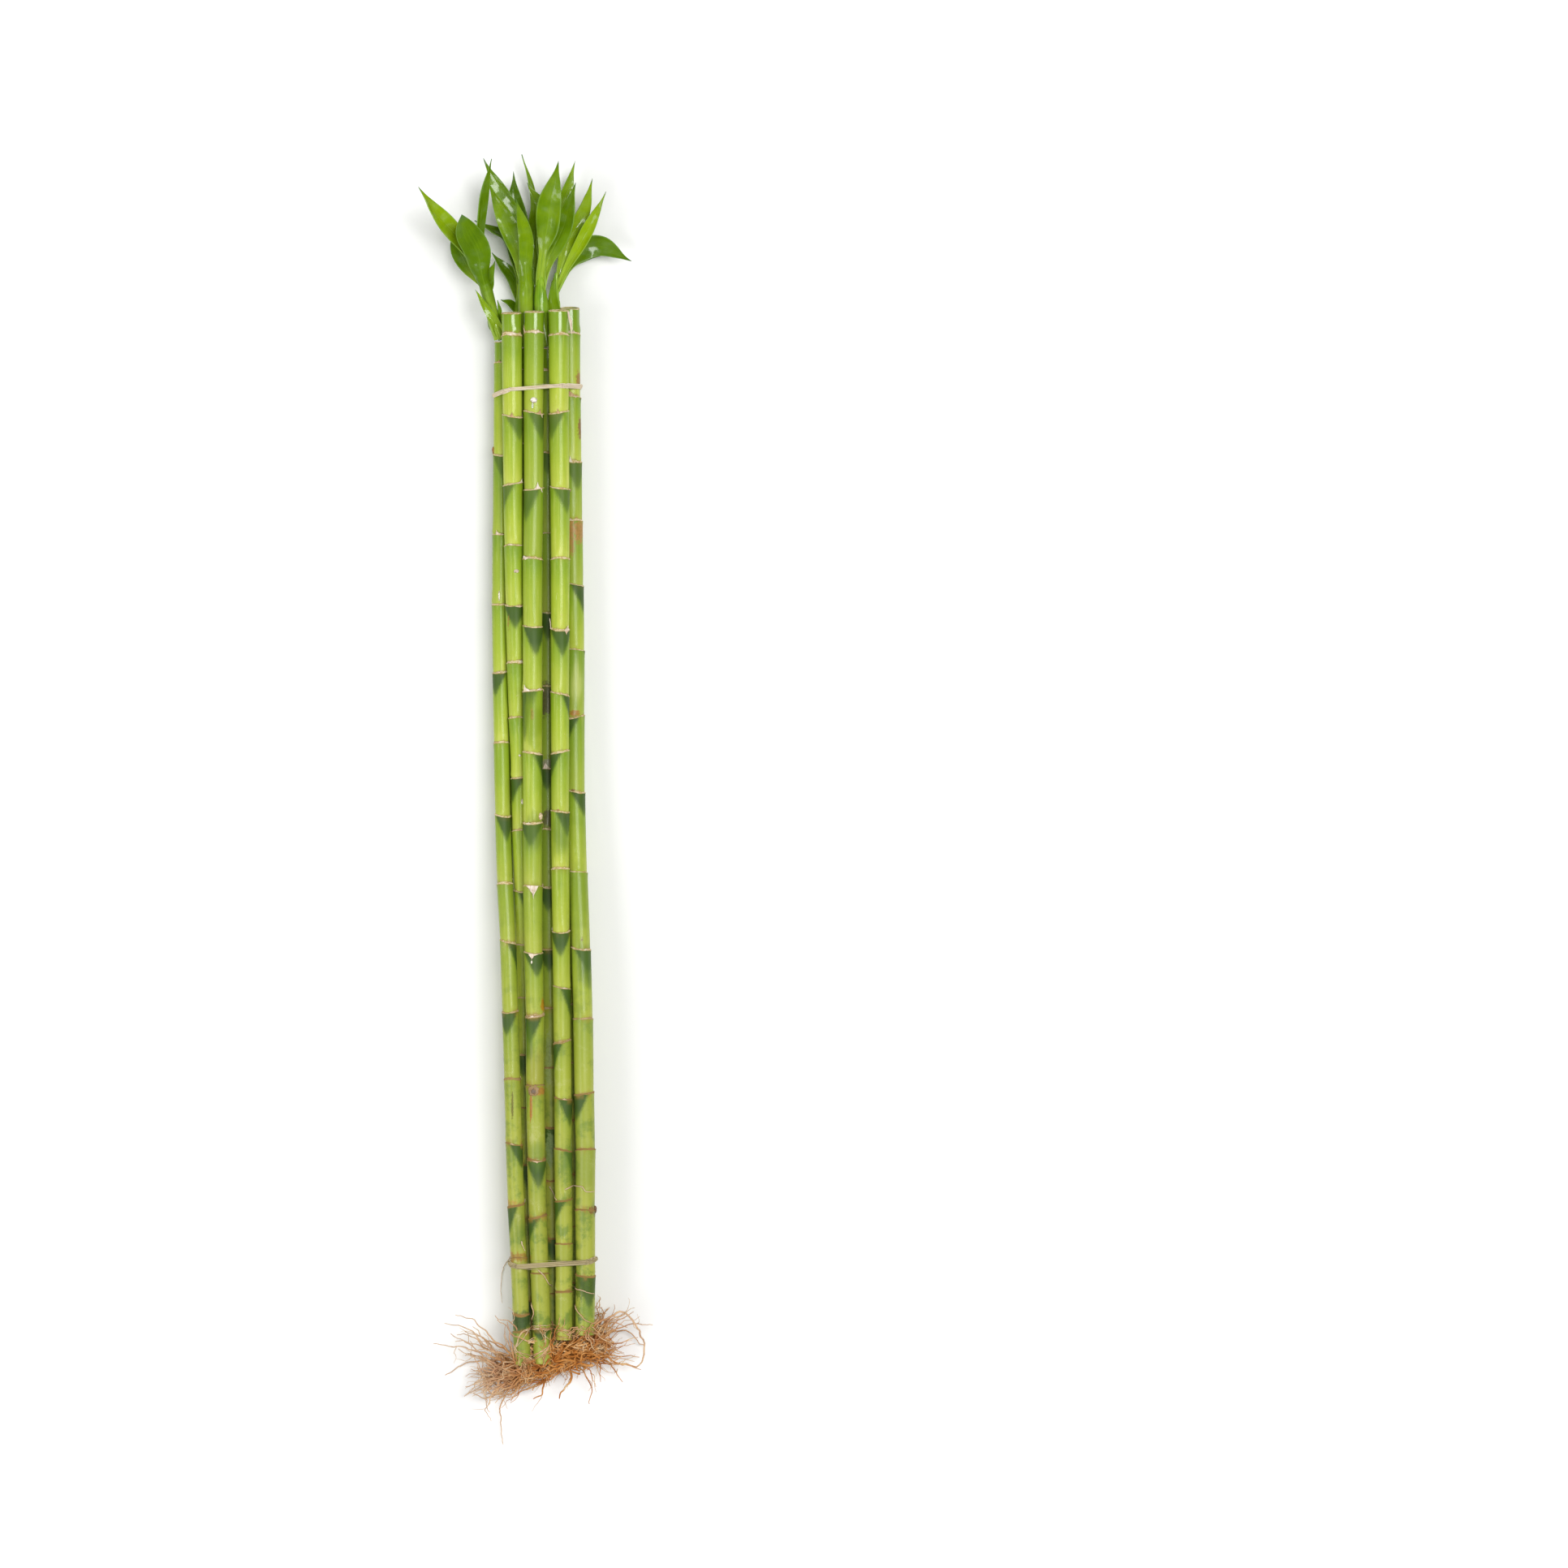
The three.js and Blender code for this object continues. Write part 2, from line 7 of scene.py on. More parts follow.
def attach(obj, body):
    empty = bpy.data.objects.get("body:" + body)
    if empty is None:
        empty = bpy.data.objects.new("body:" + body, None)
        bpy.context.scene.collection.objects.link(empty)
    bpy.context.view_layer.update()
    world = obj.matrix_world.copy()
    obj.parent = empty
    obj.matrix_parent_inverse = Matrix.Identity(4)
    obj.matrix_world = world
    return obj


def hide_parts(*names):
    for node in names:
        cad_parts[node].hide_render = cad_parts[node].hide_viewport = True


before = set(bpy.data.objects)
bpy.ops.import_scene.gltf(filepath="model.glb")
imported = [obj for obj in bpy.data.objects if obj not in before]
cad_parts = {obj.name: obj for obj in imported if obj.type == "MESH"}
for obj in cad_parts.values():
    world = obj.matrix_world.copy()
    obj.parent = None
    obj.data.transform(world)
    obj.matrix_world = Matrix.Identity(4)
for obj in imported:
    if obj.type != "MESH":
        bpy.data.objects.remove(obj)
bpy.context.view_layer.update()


# The table, the camera and the lamps. The table is a plain off-white board, the camera hangs
# straight above it on a long lens, and two large soft lamps and a white room light the bundle.
MM = 0.001
LENS, SENSOR = 135, 36
FRAME_WIDTH = 623.2 * MM
MID_HEIGHT = 20 * MM
LOOK_AT = (98.55 * MM, 6.29 * MM)
TABLE_SIZE = 40
ROOM_LIGHT = 0.4
# Name, place, width, length and power of each lamp.
LAMPS = (("key", (0.9, 0.35, 2.5), 0.7, 1.6, 50), ("fill", (-1.5, -0.6, 1.8), 1.2, 1.2, 22))


def tint(code):
    """A colour from its six-figure web code."""
    parts = [int(code[at:at + 2], 16) / 255 for at in (0, 2, 4)]
    return [p / 12.92 if p <= 0.04045 else ((p + 0.055) / 1.055) ** 2.4 for p in parts] + [1]


def wire(tree, kind, inputs, out=0, **settings):
    """Adds a node, sets or links its inputs, and gives back one of its outputs."""
    made = tree.nodes.new("ShaderNode" + kind)
    for name, value in settings.items():
        setattr(made, name, value)
    for name, value in inputs.items():
        if isinstance(value, bpy.types.NodeSocket):
            tree.links.new(value, made.inputs[name])
        else:
            made.inputs[name].default_value = value
    return made.outputs[out]


def where(tree):
    """The place on the piece, in metres."""
    return wire(tree, "TexCoord", {}, out="Object")


def clouded(place, scale, detail, roughness=0.5):
    """A value that drifts unevenly over a surface, and faster where its scale is larger."""
    inputs = {"Vector": place, "Scale": scale, "Detail": detail, "Roughness": roughness}
    return wire(place.id_data, "TexNoise", inputs)


def ramp(value, stops):
    """Colours that follow one another along a value."""
    made = value.id_data.nodes.new("ShaderNodeValToRGB")
    value.id_data.links.new(value, made.inputs[0])
    colours = made.color_ramp.elements
    while len(colours) < len(stops):
        colours.new(0.5)
    for stop, (place, code) in zip(colours, stops):
        stop.position = place
        stop.color = tint(code)
    return made.outputs[0]


def material(name, roughness, **sockets):
    """A new material with its shader, and the shader's own plain values set."""
    made = bpy.data.materials.new(name)
    made.use_nodes = True
    shader = made.node_tree.nodes["Principled BSDF"]
    shader.inputs["Roughness"].default_value = roughness
    for socket, value in sockets.items():
        shader.inputs[socket.replace("_", " ")].default_value = value
    return made, made.node_tree, shader


def feed(shader, socket, value):
    """Lets a value or a colour that changes over the surface into the shader."""
    value.id_data.links.new(value, shader.inputs[socket])


bpy.ops.object.select_all(action="DESELECT")
bpy.ops.mesh.primitive_plane_add(size=TABLE_SIZE)
table = bpy.context.object
table.name = "table"
paint, tree, shader = material("off_white_board", 0.7)
cloud = clouded(where(tree), 3, 2)
feed(shader, "Base Color", ramp(cloud, [(0, "F4F4F3"), (1, "F8F8F7")]))
table.data.materials.append(paint)

height = FRAME_WIDTH * LENS / SENSOR + MID_HEIGHT
bpy.ops.object.camera_add(location=(*LOOK_AT, height), rotation=(0, 0, 0))
camera = bpy.context.object
camera.data.lens = LENS
camera.data.sensor_width = SENSOR
bpy.context.scene.camera = camera
bpy.context.scene.view_settings.view_transform = "Standard"

for lamp, spot, wide, long, power in LAMPS:
    bpy.ops.object.light_add(type="AREA", location=spot)
    light = bpy.context.object
    light.name = lamp + "_lamp"
    light.data.shape = "RECTANGLE"
    light.data.size, light.data.size_y = wide, long
    light.data.energy = power
    light.rotation_euler = (-Vector(spot)).to_track_quat("-Z", "Y").to_euler()
room = bpy.data.worlds.new("white_room")
room.use_nodes = True
room.node_tree.nodes["Background"].inputs["Color"].default_value = (1, 1, 1, 1)
room.node_tree.nodes["Background"].inputs["Strength"].default_value = ROOM_LIGHT
bpy.context.scene.world = room


# The canes. Each is a green stem with a tan scar round it at every joint, where a leaf was
# pulled off, and under many of the scars a dark wedge that points down the stem. They are
# grown, cut square at both ends and stripped, and lie packed together as they were tied.
FIRST, STEP, STEPS = -240, 80, 6
HIDDEN_RADIUS = 3.7
CANE_SIDES = 28
UNDERSIDE = 270
# Shade of the hidden canes: low, so that they are painted dark as the shade in the gaps between
# canes.
DEEP_CANE_PAINTED_SHADE = 0.1
# How far a ring stands off as a share of the radius, and how far a joint narrows under it.
CREST, TAPER = 0.045, 0.045
# How far a ring leans and ripples, and how far from it the stem goes with it, in mm.
LEAN_SPAN, RIPPLE_SPAN = 6, 1.6
# A dormant eye over a ring: how far it swells, its spread in degrees, its middle and length.
EYE_SWELL, EYE_SPREAD, EYE_MIDDLE, EYE_LENGTH = 0.11, 24, 1.8, 1.6
# Lowest and highest length of a wedge and lean of a ring, in mm, on the underside and in view.
WEDGES = {"under": (5, 9), "seen": (10.5, 13.5)}
LEANS = {"under": (0.15, 0.5), "seen": (0.55, 0.95)}
# The cut face, from its edge inwards: how far in, and how far its middle is then pushed along.
CUT_FACE_STEPS = ((0.35, 0.12), (0.5, -0.5), (0.9, 0))
# A little over a full turn, in radians: waves and ripples start anywhere in it.
ANY_TURN = 6.3
# Edges turned by more than this stay sharp.
SHARP = math.radians(50)
# Places across, off the table and the radius every STEP mm, and for each joint from the top
# the side that its wedge is on: 0 is right, 90 up at the viewer, 180 left, None the underside.
# "ends" are the cut ends, "slant" tips the upper cut, "shade" is partly how fresh the green is
# and partly painted shade: it is low on the canes deep in the bundle, to darken the gaps between
# them. "thick", "reach" and "eyes" say for single rings how wide the scar is, how long the wedge
# is, and on which side a dormant eye swells.
CANES = {
    "a": {
        "x": [-4.6, -7.8, -10.2, -13.7, -14.5, -13.7, -12.5],
        "z": [20.7, 21.2, 20.4, 14.6, 12.6, 12.6, 12.6],
        "r": [3.3, 3.4, 3.3, 3.15, 3.3, 3.4, 3.4],
        "ends": (182.5, -224.5),
        "shade": 0.5,
        "eyes": {105.5: 165, 22.5: 60, -33.5: 80, -111: 95},
        "joints": {
            174: None, 137.5: 70, 105.5: None, 77.5: None, 51: 130, 22.5: None, -6: 60, -33.5: None,
            -56.5: 5, -84: 120, -111: None, -136.5: 35, -161: 160, -182: None, -204: 80,
            -211.5: None,
        },
    },
    "b": {
        "x": [-2.1, -3.9, -5.4, -6.5, -8.6, -9.6, -10],
        "z": [13, 13.4, 13.8, 14.7, 17.7, 20.3, 20.6],
        "r": [3.6, 3.6, 3.6, 3.6, 3.85, 4.03, 4.03],
        "ends": (193.5, -219),
        "slant": 0.15,
        "shade": 0.8,
        "thick": {184.5: 1.9, 101: 1.2, 54.5: 1.4},
        "eyes": {152.5: 88, 101: 70, 54.5: 100, -12.5: 90, -79: 80},
        "joints": {
            184.5: None, 152.5: 40, 125.5: 165, 101: None, 77.5: 88, 54.5: None, 32.5: None, 9: 150,
            -12.5: None, -36.5: 30, -58: None, -79: None, -101: 95, -123: None, -145: 60,
            -167: None,
            -199: 120,
        },
    },
    "c": {
        "x": [3.4, 0.6, -0.6, -1.4, -1.2, -0.8, -0.6],
        "z": [20, 21.3, 21.4, 21.4, 21.6, 20.4, 20.4],
        "r": [3.85, 3.75, 3.8, 3.95, 4, 4.03, 4],
        "ends": (194, -224),
        "slant": 0.15,
        "shade": 0.45,
        "thick": {185.5: 2, 95.5: 1.7, -9: 1.6, -85.5: 1.5, -142.5: 1.5},
        "reach": {-209.5: 6, 123.5: 15, 43.5: 23},
        "eyes": {154: 58, 95.5: 100, 18.5: 80, -34.5: 95, -113.5: 92, -165.5: 80},
        "joints": {
            185.5: None, 154: 35, 123.5: 138, 95.5: None, 69: 66, 43.5: 150, 18.5: 0, -9: 104,
            -34.5: None, -60.5: 68, -85.5: 125, -113.5: None, -142.5: 78, -165.5: 165, -188.2: None,
            -209.5: 90,
        },
    },
    "d": {
        "x": [10.9, 11.1, 10.2, 9.7, 9.7, 9.1, 8.9],
        "z": [19.8, 21.3, 21.4, 21.4, 21.3, 20.4, 20.4],
        "r": [3.4, 3.55, 3.55, 3.7, 3.8, 4.05, 4.05],
        "ends": (194.5, -214.5),
        "slant": 0.15,
        "shade": 0.7,
        "thick": {68: 1.2},
        "eyes": {154: 92, 95.5: 110, 42: 95, -27.5: 80, -96: 85, -176.5: 90},
        "joints": {
            184.5: None, 154: 140, 124: 42, 95.5: None, 68: 72, 42: -6, 19: 162, -4.5: 36,
            -27.5: None,
            -52: 95, -74.5: 12, -96: 165, -118.5: 36, -139: 0, -159: 160, -176.5: None,
            -195.5: None,
        },
    },
    "e": {
        "x": [19.4, 19.7, 18.5, 15.5, 14.8, 13.5, 13],
        "z": [20.8, 21.2, 20.6, 15.1, 12.9, 12.6, 12.4],
        "r": [3.95, 4, 4, 4, 4, 4, 4],
        "ends": (196, -212.5),
        "slant": 0.22,
        "shade": 0.4,
        "reach": {-188.6: 15},
        "eyes": {160.5: 60, 111: 90, 59.5: 70, -29: 80, -87: 85},
        "joints": {
            185.5: None, 160.5: None, 135: 55, 111: None, 86: 22, 59.5: None, 33: 150, 3.5: 28,
            -29: None, -59: 42, -87: None, -116.5: 148, -139: None, -163: None, -188.6: 62,
        },
    },
    "f": {
        "x": [6.5, 6, 5.2, 4.4, 4.5, 4.4, 4.4],
        "z": [13, 13.4, 13.6, 13.6, 12.8, 12.6, 12.6],
        "ends": (180, -217),
        # Low: cane f only shows in the gap between c and d, and is painted dark as the shade there.
        "shade": 0.1,
        "joints": {
            171: None, 139: 90, 106: None, 75: 90, 45: None, 13: 90, -12: None, -34.5: 90, -59: 90,
            -83.5: None, -107: None, -130: 90, -152: None, -174: 90, -197: None,
        },
    },
    "g": {
        "x": [8.6, 4.5, 0.1, -3.4, -4.6, -4.7, -4.7],
        "z": [5.6, 4.8, 4.7, 5, 9.6, 12.6, 12.6],
        "ends": (180, -221),
    },
    "h": {
        "x": [0, -4, -8.2, -12.2, -11.1, -9.2, -9],
        "z": [5.6, 4.9, 4.7, 4.7, 4.5, 4.8, 4.8],
        "ends": (176, -216),
    },
    "i": {
        "x": [17.2, 13.1, 8.4, 5, 2.1, -0.2, -0.2],
        "z": [5.6, 4.8, 4.8, 4.8, 4.6, 4.8, 4.8],
        "ends": (178, -219),
    },
    "j": {
        "x": [16.4, 15.4, 15, 13.5, 10.8, 8.9, 8.9],
        "z": [13.2, 13.5, 12.4, 4.9, 4.6, 4.8, 4.8],
        "ends": (178, -215),
    },
}


class Draw:
    """Park and Miller's numbers, the same on every run."""

    def __init__(self, seed):
        self.state = seed

    def __call__(self, low=0.0, high=1.0):
        self.state = self.state * 16807 % 2147483647
        return low + (high - low) * self.state / 2147483647


def run(values, share):
    """A smooth run through evenly spaced values, at a share of its length."""
    at = min(max(share, 0), 1) * (len(values) - 1)
    low = min(int(at), len(values) - 2)
    t = at - low
    a, b = values[low], values[low + 1]
    before = values[low - 1] if low else 2 * a - b
    after = values[low + 2] if low + 2 < len(values) else 2 * b - a
    leave, arrive = 0.5 * (b - before), 0.5 * (after - a)
    square, cube = 3 * (b - a) - 2 * leave - arrive, 2 * (a - b) + leave + arrive
    return a + leave * t + square * t * t + cube * t ** 3


def cane_at(cane, along):
    """Centre across, centre off the table and radius of a cane at one place along it."""
    share = (along - FIRST) / (STEP * STEPS)
    radii = cane.get("r", [HIDDEN_RADIUS] * (STEPS + 1))
    return run(cane["x"], share), run(cane["z"], share), run(radii, share)


# The joints of the hidden canes, which get shorter towards the roots.
ring_draw = Draw(97)
for cane in CANES.values():
    if "joints" not in cane:
        # Hidden canes take the low shade, painted dark as the shade between the canes.
        cane["joints"], cane["shade"] = {}, DEEP_CANE_PAINTED_SHADE
        joint, ring = 31, cane["ends"][0] - 9
        while ring > cane["ends"][1] + 6:
            cane["joints"][ring] = None
            ring -= joint + ring_draw(-1.5, 1.5)
            joint -= 0.75

# How far each joint sets the cane off its smooth line, across and up.
jog_draw = Draw(12)
for cane in CANES.values():
    ends = cane["ends"]
    marks = [ends[0], *cane["joints"], ends[1]]
    cane["jogs"] = [(mark, jog_draw(-0.17, 0.17), jog_draw(-0.12, 0.12)) for mark in marks]


def spot_on(cane, along):
    """Like cane_at, with the small kink that the cane makes at every joint."""
    x, z, r = cane_at(cane, along)
    for (upper, x0, z0), (lower, x1, z1) in zip(cane["jogs"], cane["jogs"][1:]):
        if along >= lower:
            share = min(max((upper - along) / (upper - lower), 0), 1)
            return x + x0 + (x1 - x0) * share, z + z0 + (z1 - z0) * share, r
    return x + x1, z + z1, r


def girth(below, above, crest):
    """How much a joint swells or narrows, by how far off the scars over and under it are."""
    share = below / (below + above)
    return 1 - TAPER * share + crest * math.exp(-below / 1.1) - 0.02 * math.exp(-above / 1.6)


def stations_of(top, bottom, rings):
    """Where a cane changes girth, from its lower end up, and by how much."""
    places = []
    marks = [top, *rings, bottom]
    for upper, lower in zip(marks, marks[1:]):
        length = upper - lower
        steps = [0.25, 0.8, 2, 4.5] + [length * share for share in (0.3, 0.45, 0.6, 0.75)]
        steps += [length - 3.2, length - 1.6, length - 0.8, length - 0.3]
        crest = CREST if upper in rings else 0
        places.append((upper, 1.042 if crest else 0.985))
        last = 0
        for step in sorted(steps):
            if step > last + 0.2 and step < length - 0.2:
                places.append((upper - step, girth(step, length - step, crest)))
                last = step
    return [(bottom, 0.955)] + places[::-1]


def grow(name, cane, draw):
    """Draws one cane up from its lower cut end, joint by joint, and leans its scars."""
    top, bottom = cane["ends"]
    rings = list(cane["joints"])
    bpy.ops.object.select_all(action="DESELECT")
    stations = stations_of(top, bottom, rings)
    x, z, r = spot_on(cane, bottom)
    bpy.ops.mesh.primitive_circle_add(
        vertices=CANE_SIDES, radius=r * stations[0][1] * MM, fill_type="NGON",
        location=(x * MM, bottom * MM, z * MM), rotation=(math.radians(90), 0, 0))
    made = bpy.context.object
    made.name = "green_cane_" + name
    bpy.ops.object.transform_apply(location=True, rotation=True, scale=True)
    bpy.ops.object.mode_set(mode="EDIT")
    bpy.ops.mesh.select_all(action="SELECT")
    for (last, swell), (along, swell_here) in zip(stations, stations[1:]):
        x0, z0, r0 = spot_on(cane, last)
        x1, z1, r1 = spot_on(cane, along)
        step = Vector((x1 - x0, along - last, z1 - z0)) * MM
        grown = r1 * swell_here / (r0 * swell)
        bpy.ops.mesh.extrude_region_move(TRANSFORM_OT_translate={"value": step})
        middle = (x1 * MM, along * MM, z1 * MM)
        bpy.ops.transform.resize(value=(grown, 1, grown), center_override=middle)
    for inwards, push in CUT_FACE_STEPS:
        bpy.ops.mesh.inset(thickness=inwards * MM)
        bpy.ops.transform.translate(value=(0, push * MM, 0))
    bpy.ops.mesh.select_all(action="SELECT")
    bpy.ops.mesh.normals_make_consistent(inside=False)
    bpy.ops.object.mode_set(mode="OBJECT")
    mark_joints(made, cane, draw)
    bpy.ops.object.shade_smooth_by_angle(angle=SHARP)
    return made


def mark_joints(made, cane, draw):
    """Writes on each corner where it lies in its joint, then tips and ripples the scars."""
    mesh = made.data
    top, bottom = cane["ends"]
    rings = list(cane["joints"])
    sides, tips, reaches, scars, ripples, eyes = [], [], [], [], [], []
    shades = [cane["shade"] + draw(-0.1, 0.1)]
    for ring, wedge in cane["joints"].items():
        if wedge is None:
            sides.append(draw(UNDERSIDE - 35, UNDERSIDE + 35))
            reaches.append(draw(*WEDGES["under"]))
        else:
            sides.append(wedge)
            reaches.append(cane.get("reach", {}).get(ring, draw(*WEDGES["seen"])))
        tips.append(draw(*LEANS["under" if wedge is None else "seen"]))
        scars.append(draw(0.4, 0.9) * cane.get("thick", {}).get(ring, 1))
        ripples.append((draw(0, ANY_TURN), draw(0, ANY_TURN)))
        eyes.append(cane.get("eyes", {}).get(ring, draw(0, 360)))
        shades.append(cane["shade"] + draw(-0.25, 0.25))
    cane["leans"] = dict(zip(rings, zip(sides, tips)))
    for name, kind in (("joint", "FLOAT_VECTOR"), ("scar", "FLOAT_VECTOR"), ("shade", "FLOAT")):
        mesh.attributes.new(name, kind, "CORNER")
    place, mark, tone = (mesh.attributes[name].data for name in ("joint", "scar", "shade"))
    marks = [top, *rings, bottom]
    spots = []
    for vertex in mesh.vertices:
        along = vertex.co.y / MM
        x, z, _ = spot_on(cane, along)
        spots.append((along, math.degrees(math.atan2(vertex.co.z / MM - z, vertex.co.x / MM - x))))
    for face in mesh.polygons:
        middle = sum(spots[v][0] for v in face.vertices) / len(face.vertices)
        at = min(max(sum(mark > middle for mark in marks) - 1, 0), len(marks) - 2)
        upper, lower = marks[at], marks[at + 1]
        wedge = sides[at - 1] if at else UNDERSIDE
        reach = reaches[at - 1] if at else 0.01
        over = scars[at - 1] if at else 0.7
        under = scars[at] if at < len(scars) else 0.01
        first = None
        for corner, vertex in zip(face.loop_indices, face.vertices):
            along, angle = spots[vertex]
            off = (angle - wedge + 180) % 360 - 180
            if first is None:
                first = off
            off -= round((off - first) / 360) * 360
            place[corner].vector = (max(upper - along, 0), max(along - lower, 0), off)
            mark[corner].vector = (reach, over, under)
            tone[corner].value = shades[at]
    for vertex, (along, angle) in zip(mesh.vertices, spots):
        lean, turn = 0, math.radians(angle)
        x, z, _ = spot_on(cane, along)
        for ring, side, tip, (p, q), eye in zip(rings, sides, tips, ripples, eyes):
            gap = abs(along - ring)
            if gap < LEAN_SPAN:
                close = max(0, 1 - gap / RIPPLE_SPAN)
                lean -= tip * math.cos(turn - math.radians(side)) * (1 - gap / LEAN_SPAN)
                lean += close * (0.09 * math.sin(3 * turn + p) + 0.05 * math.sin(7 * turn + q))
            if 0 < along - ring < LEAN_SPAN:
                apart = ((angle - eye + 180) % 360 - 180) / EYE_SPREAD
                beyond = (along - ring - EYE_MIDDLE) / EYE_LENGTH
                swell = EYE_SWELL * math.exp(-apart ** 2 - beyond ** 2)
                vertex.co.x += (vertex.co.x - x * MM) * swell
                vertex.co.z += (vertex.co.z - z * MM) * swell
        if along > top - 0.8:
            lean -= cane.get("slant", 0.05) * (vertex.co.z / MM - z)
        vertex.co.y += lean * MM


def tree_of(values):
    """The node tree that the first socket among some values is in."""
    return next(value.id_data for value in values if isinstance(value, bpy.types.NodeSocket))


def sums(operation, *values):
    """One step of arithmetic."""
    return wire(tree_of(values), "Math", dict(enumerate(values)), operation=operation)


def times(first, second):
    """Two values or masks multiplied."""
    return sums("MULTIPLY", first, second)


def plus(first, second):
    """Two values added."""
    return sums("ADD", first, second)


def scaled(value, factor, more):
    """A value times a factor, and something more."""
    return sums("MULTIPLY_ADD", value, factor, more)


def faded(value, start, end):
    """A soft mask: nothing at the start, all of it at the end."""
    inputs = {"Value": value, "From Min": start, "From Max": end}
    return wire(value.id_data, "MapRange", inputs, interpolation_type="SMOOTHSTEP")


def mixed(share, first, second):
    """The first colour turned into the second by a share or a mask."""
    inputs = {0: share, 6: first, 7: second}
    return wire(share.id_data, "Mix", inputs, out=2, data_type="RGBA")


def laid(colour, code, mask, strength=None):
    """A colour with another one laid over it where the mask is, as strongly as given."""
    return mixed(mask if strength is None else times(mask, strength), colour, tint(code))


def split(vector):
    """The three numbers of a place, or of what stands for one."""
    return wire(vector.id_data, "SeparateXYZ", {0: vector}).node.outputs


def written(tree, name, kind):
    """What the mesh carries under a name."""
    return wire(tree, "Attribute", {}, out=kind, attribute_name=name)


def stretched(place, scale, turn=(0, 0, 0)):
    """A place scaled in each direction, so that a pattern on it is drawn out, and turned."""
    inputs = {"Vector": place, "Scale": scale, "Rotation": turn}
    return wire(place.id_data, "Mapping", inputs)


def bump(shader, height, distance, strength=1.0):
    """Lets a height stand off the surface by so many metres."""
    inputs = {"Height": height, "Distance": distance, "Strength": strength}
    feed(shader, "Normal", wire(height.id_data, "Bump", inputs))


def grain_group(name, places, values):
    """A node group with sockets for the places it reads and the values it puts out."""
    group = bpy.data.node_groups.new(name, "ShaderNodeTree")
    for socket in places:
        group.interface.new_socket(socket, in_out="INPUT", socket_type="NodeSocketVector")
    for socket in values:
        group.interface.new_socket(socket, in_out="OUTPUT", socket_type="NodeSocketFloat")
    given, put_out = (group.nodes.new("NodeGroup" + end) for end in ("Input", "Output"))
    return group, given.outputs, put_out.inputs


def placed(group, **places):
    """Puts a node group into a material with the places it reads, and gives back its values."""
    tree = tree_of(places.values())
    made = tree.nodes.new("ShaderNodeGroup")
    made.node_tree = group
    for socket, place in places.items():
        tree.links.new(place, made.inputs[socket])
    return made.outputs


def green_grain():
    """Fibres, flecks and soft clouds of a green stem, for the canes and the shoots' stems; on the
    shoots' stems its streaks also place painted highlight lines.
    """
    group, given, put_out = grain_group("green_grain", ["Place"], ["Streaks", "Flecks", "Clouds"])
    for name, stretch, scale, detail in (
            ("Streaks", (1, 0.04, 1), 1100, 3),
            ("Flecks", (1, 0.7, 1), 2100, 2),
            ("Clouds", (1, 0.45, 1), 170, 3)):
        value = clouded(stretched(given["Place"], stretch), scale, detail, 0.55)
        group.links.new(value, put_out[name])
    return group


GREEN_GRAIN = green_grain()


def out_from(place, centre, size, *grains):
    """How far out of a mark a place is: 0 in the middle, about 1 at its edge, as grains allow."""
    tree = place.id_data
    middle, shrunk = [value * MM for value in centre], [1 / (value * MM) for value in size]
    apart = wire(tree, "VectorMath", {0: place, 1: middle}, operation="SUBTRACT")
    apart = wire(tree, "VectorMath", {0: apart, 1: shrunk}, operation="MULTIPLY")
    far = wire(tree, "VectorMath", {0: apart}, out="Value", operation="LENGTH")
    for grain, factor, more in grains:
        far = plus(far, scaled(grain, factor, more))
    return far


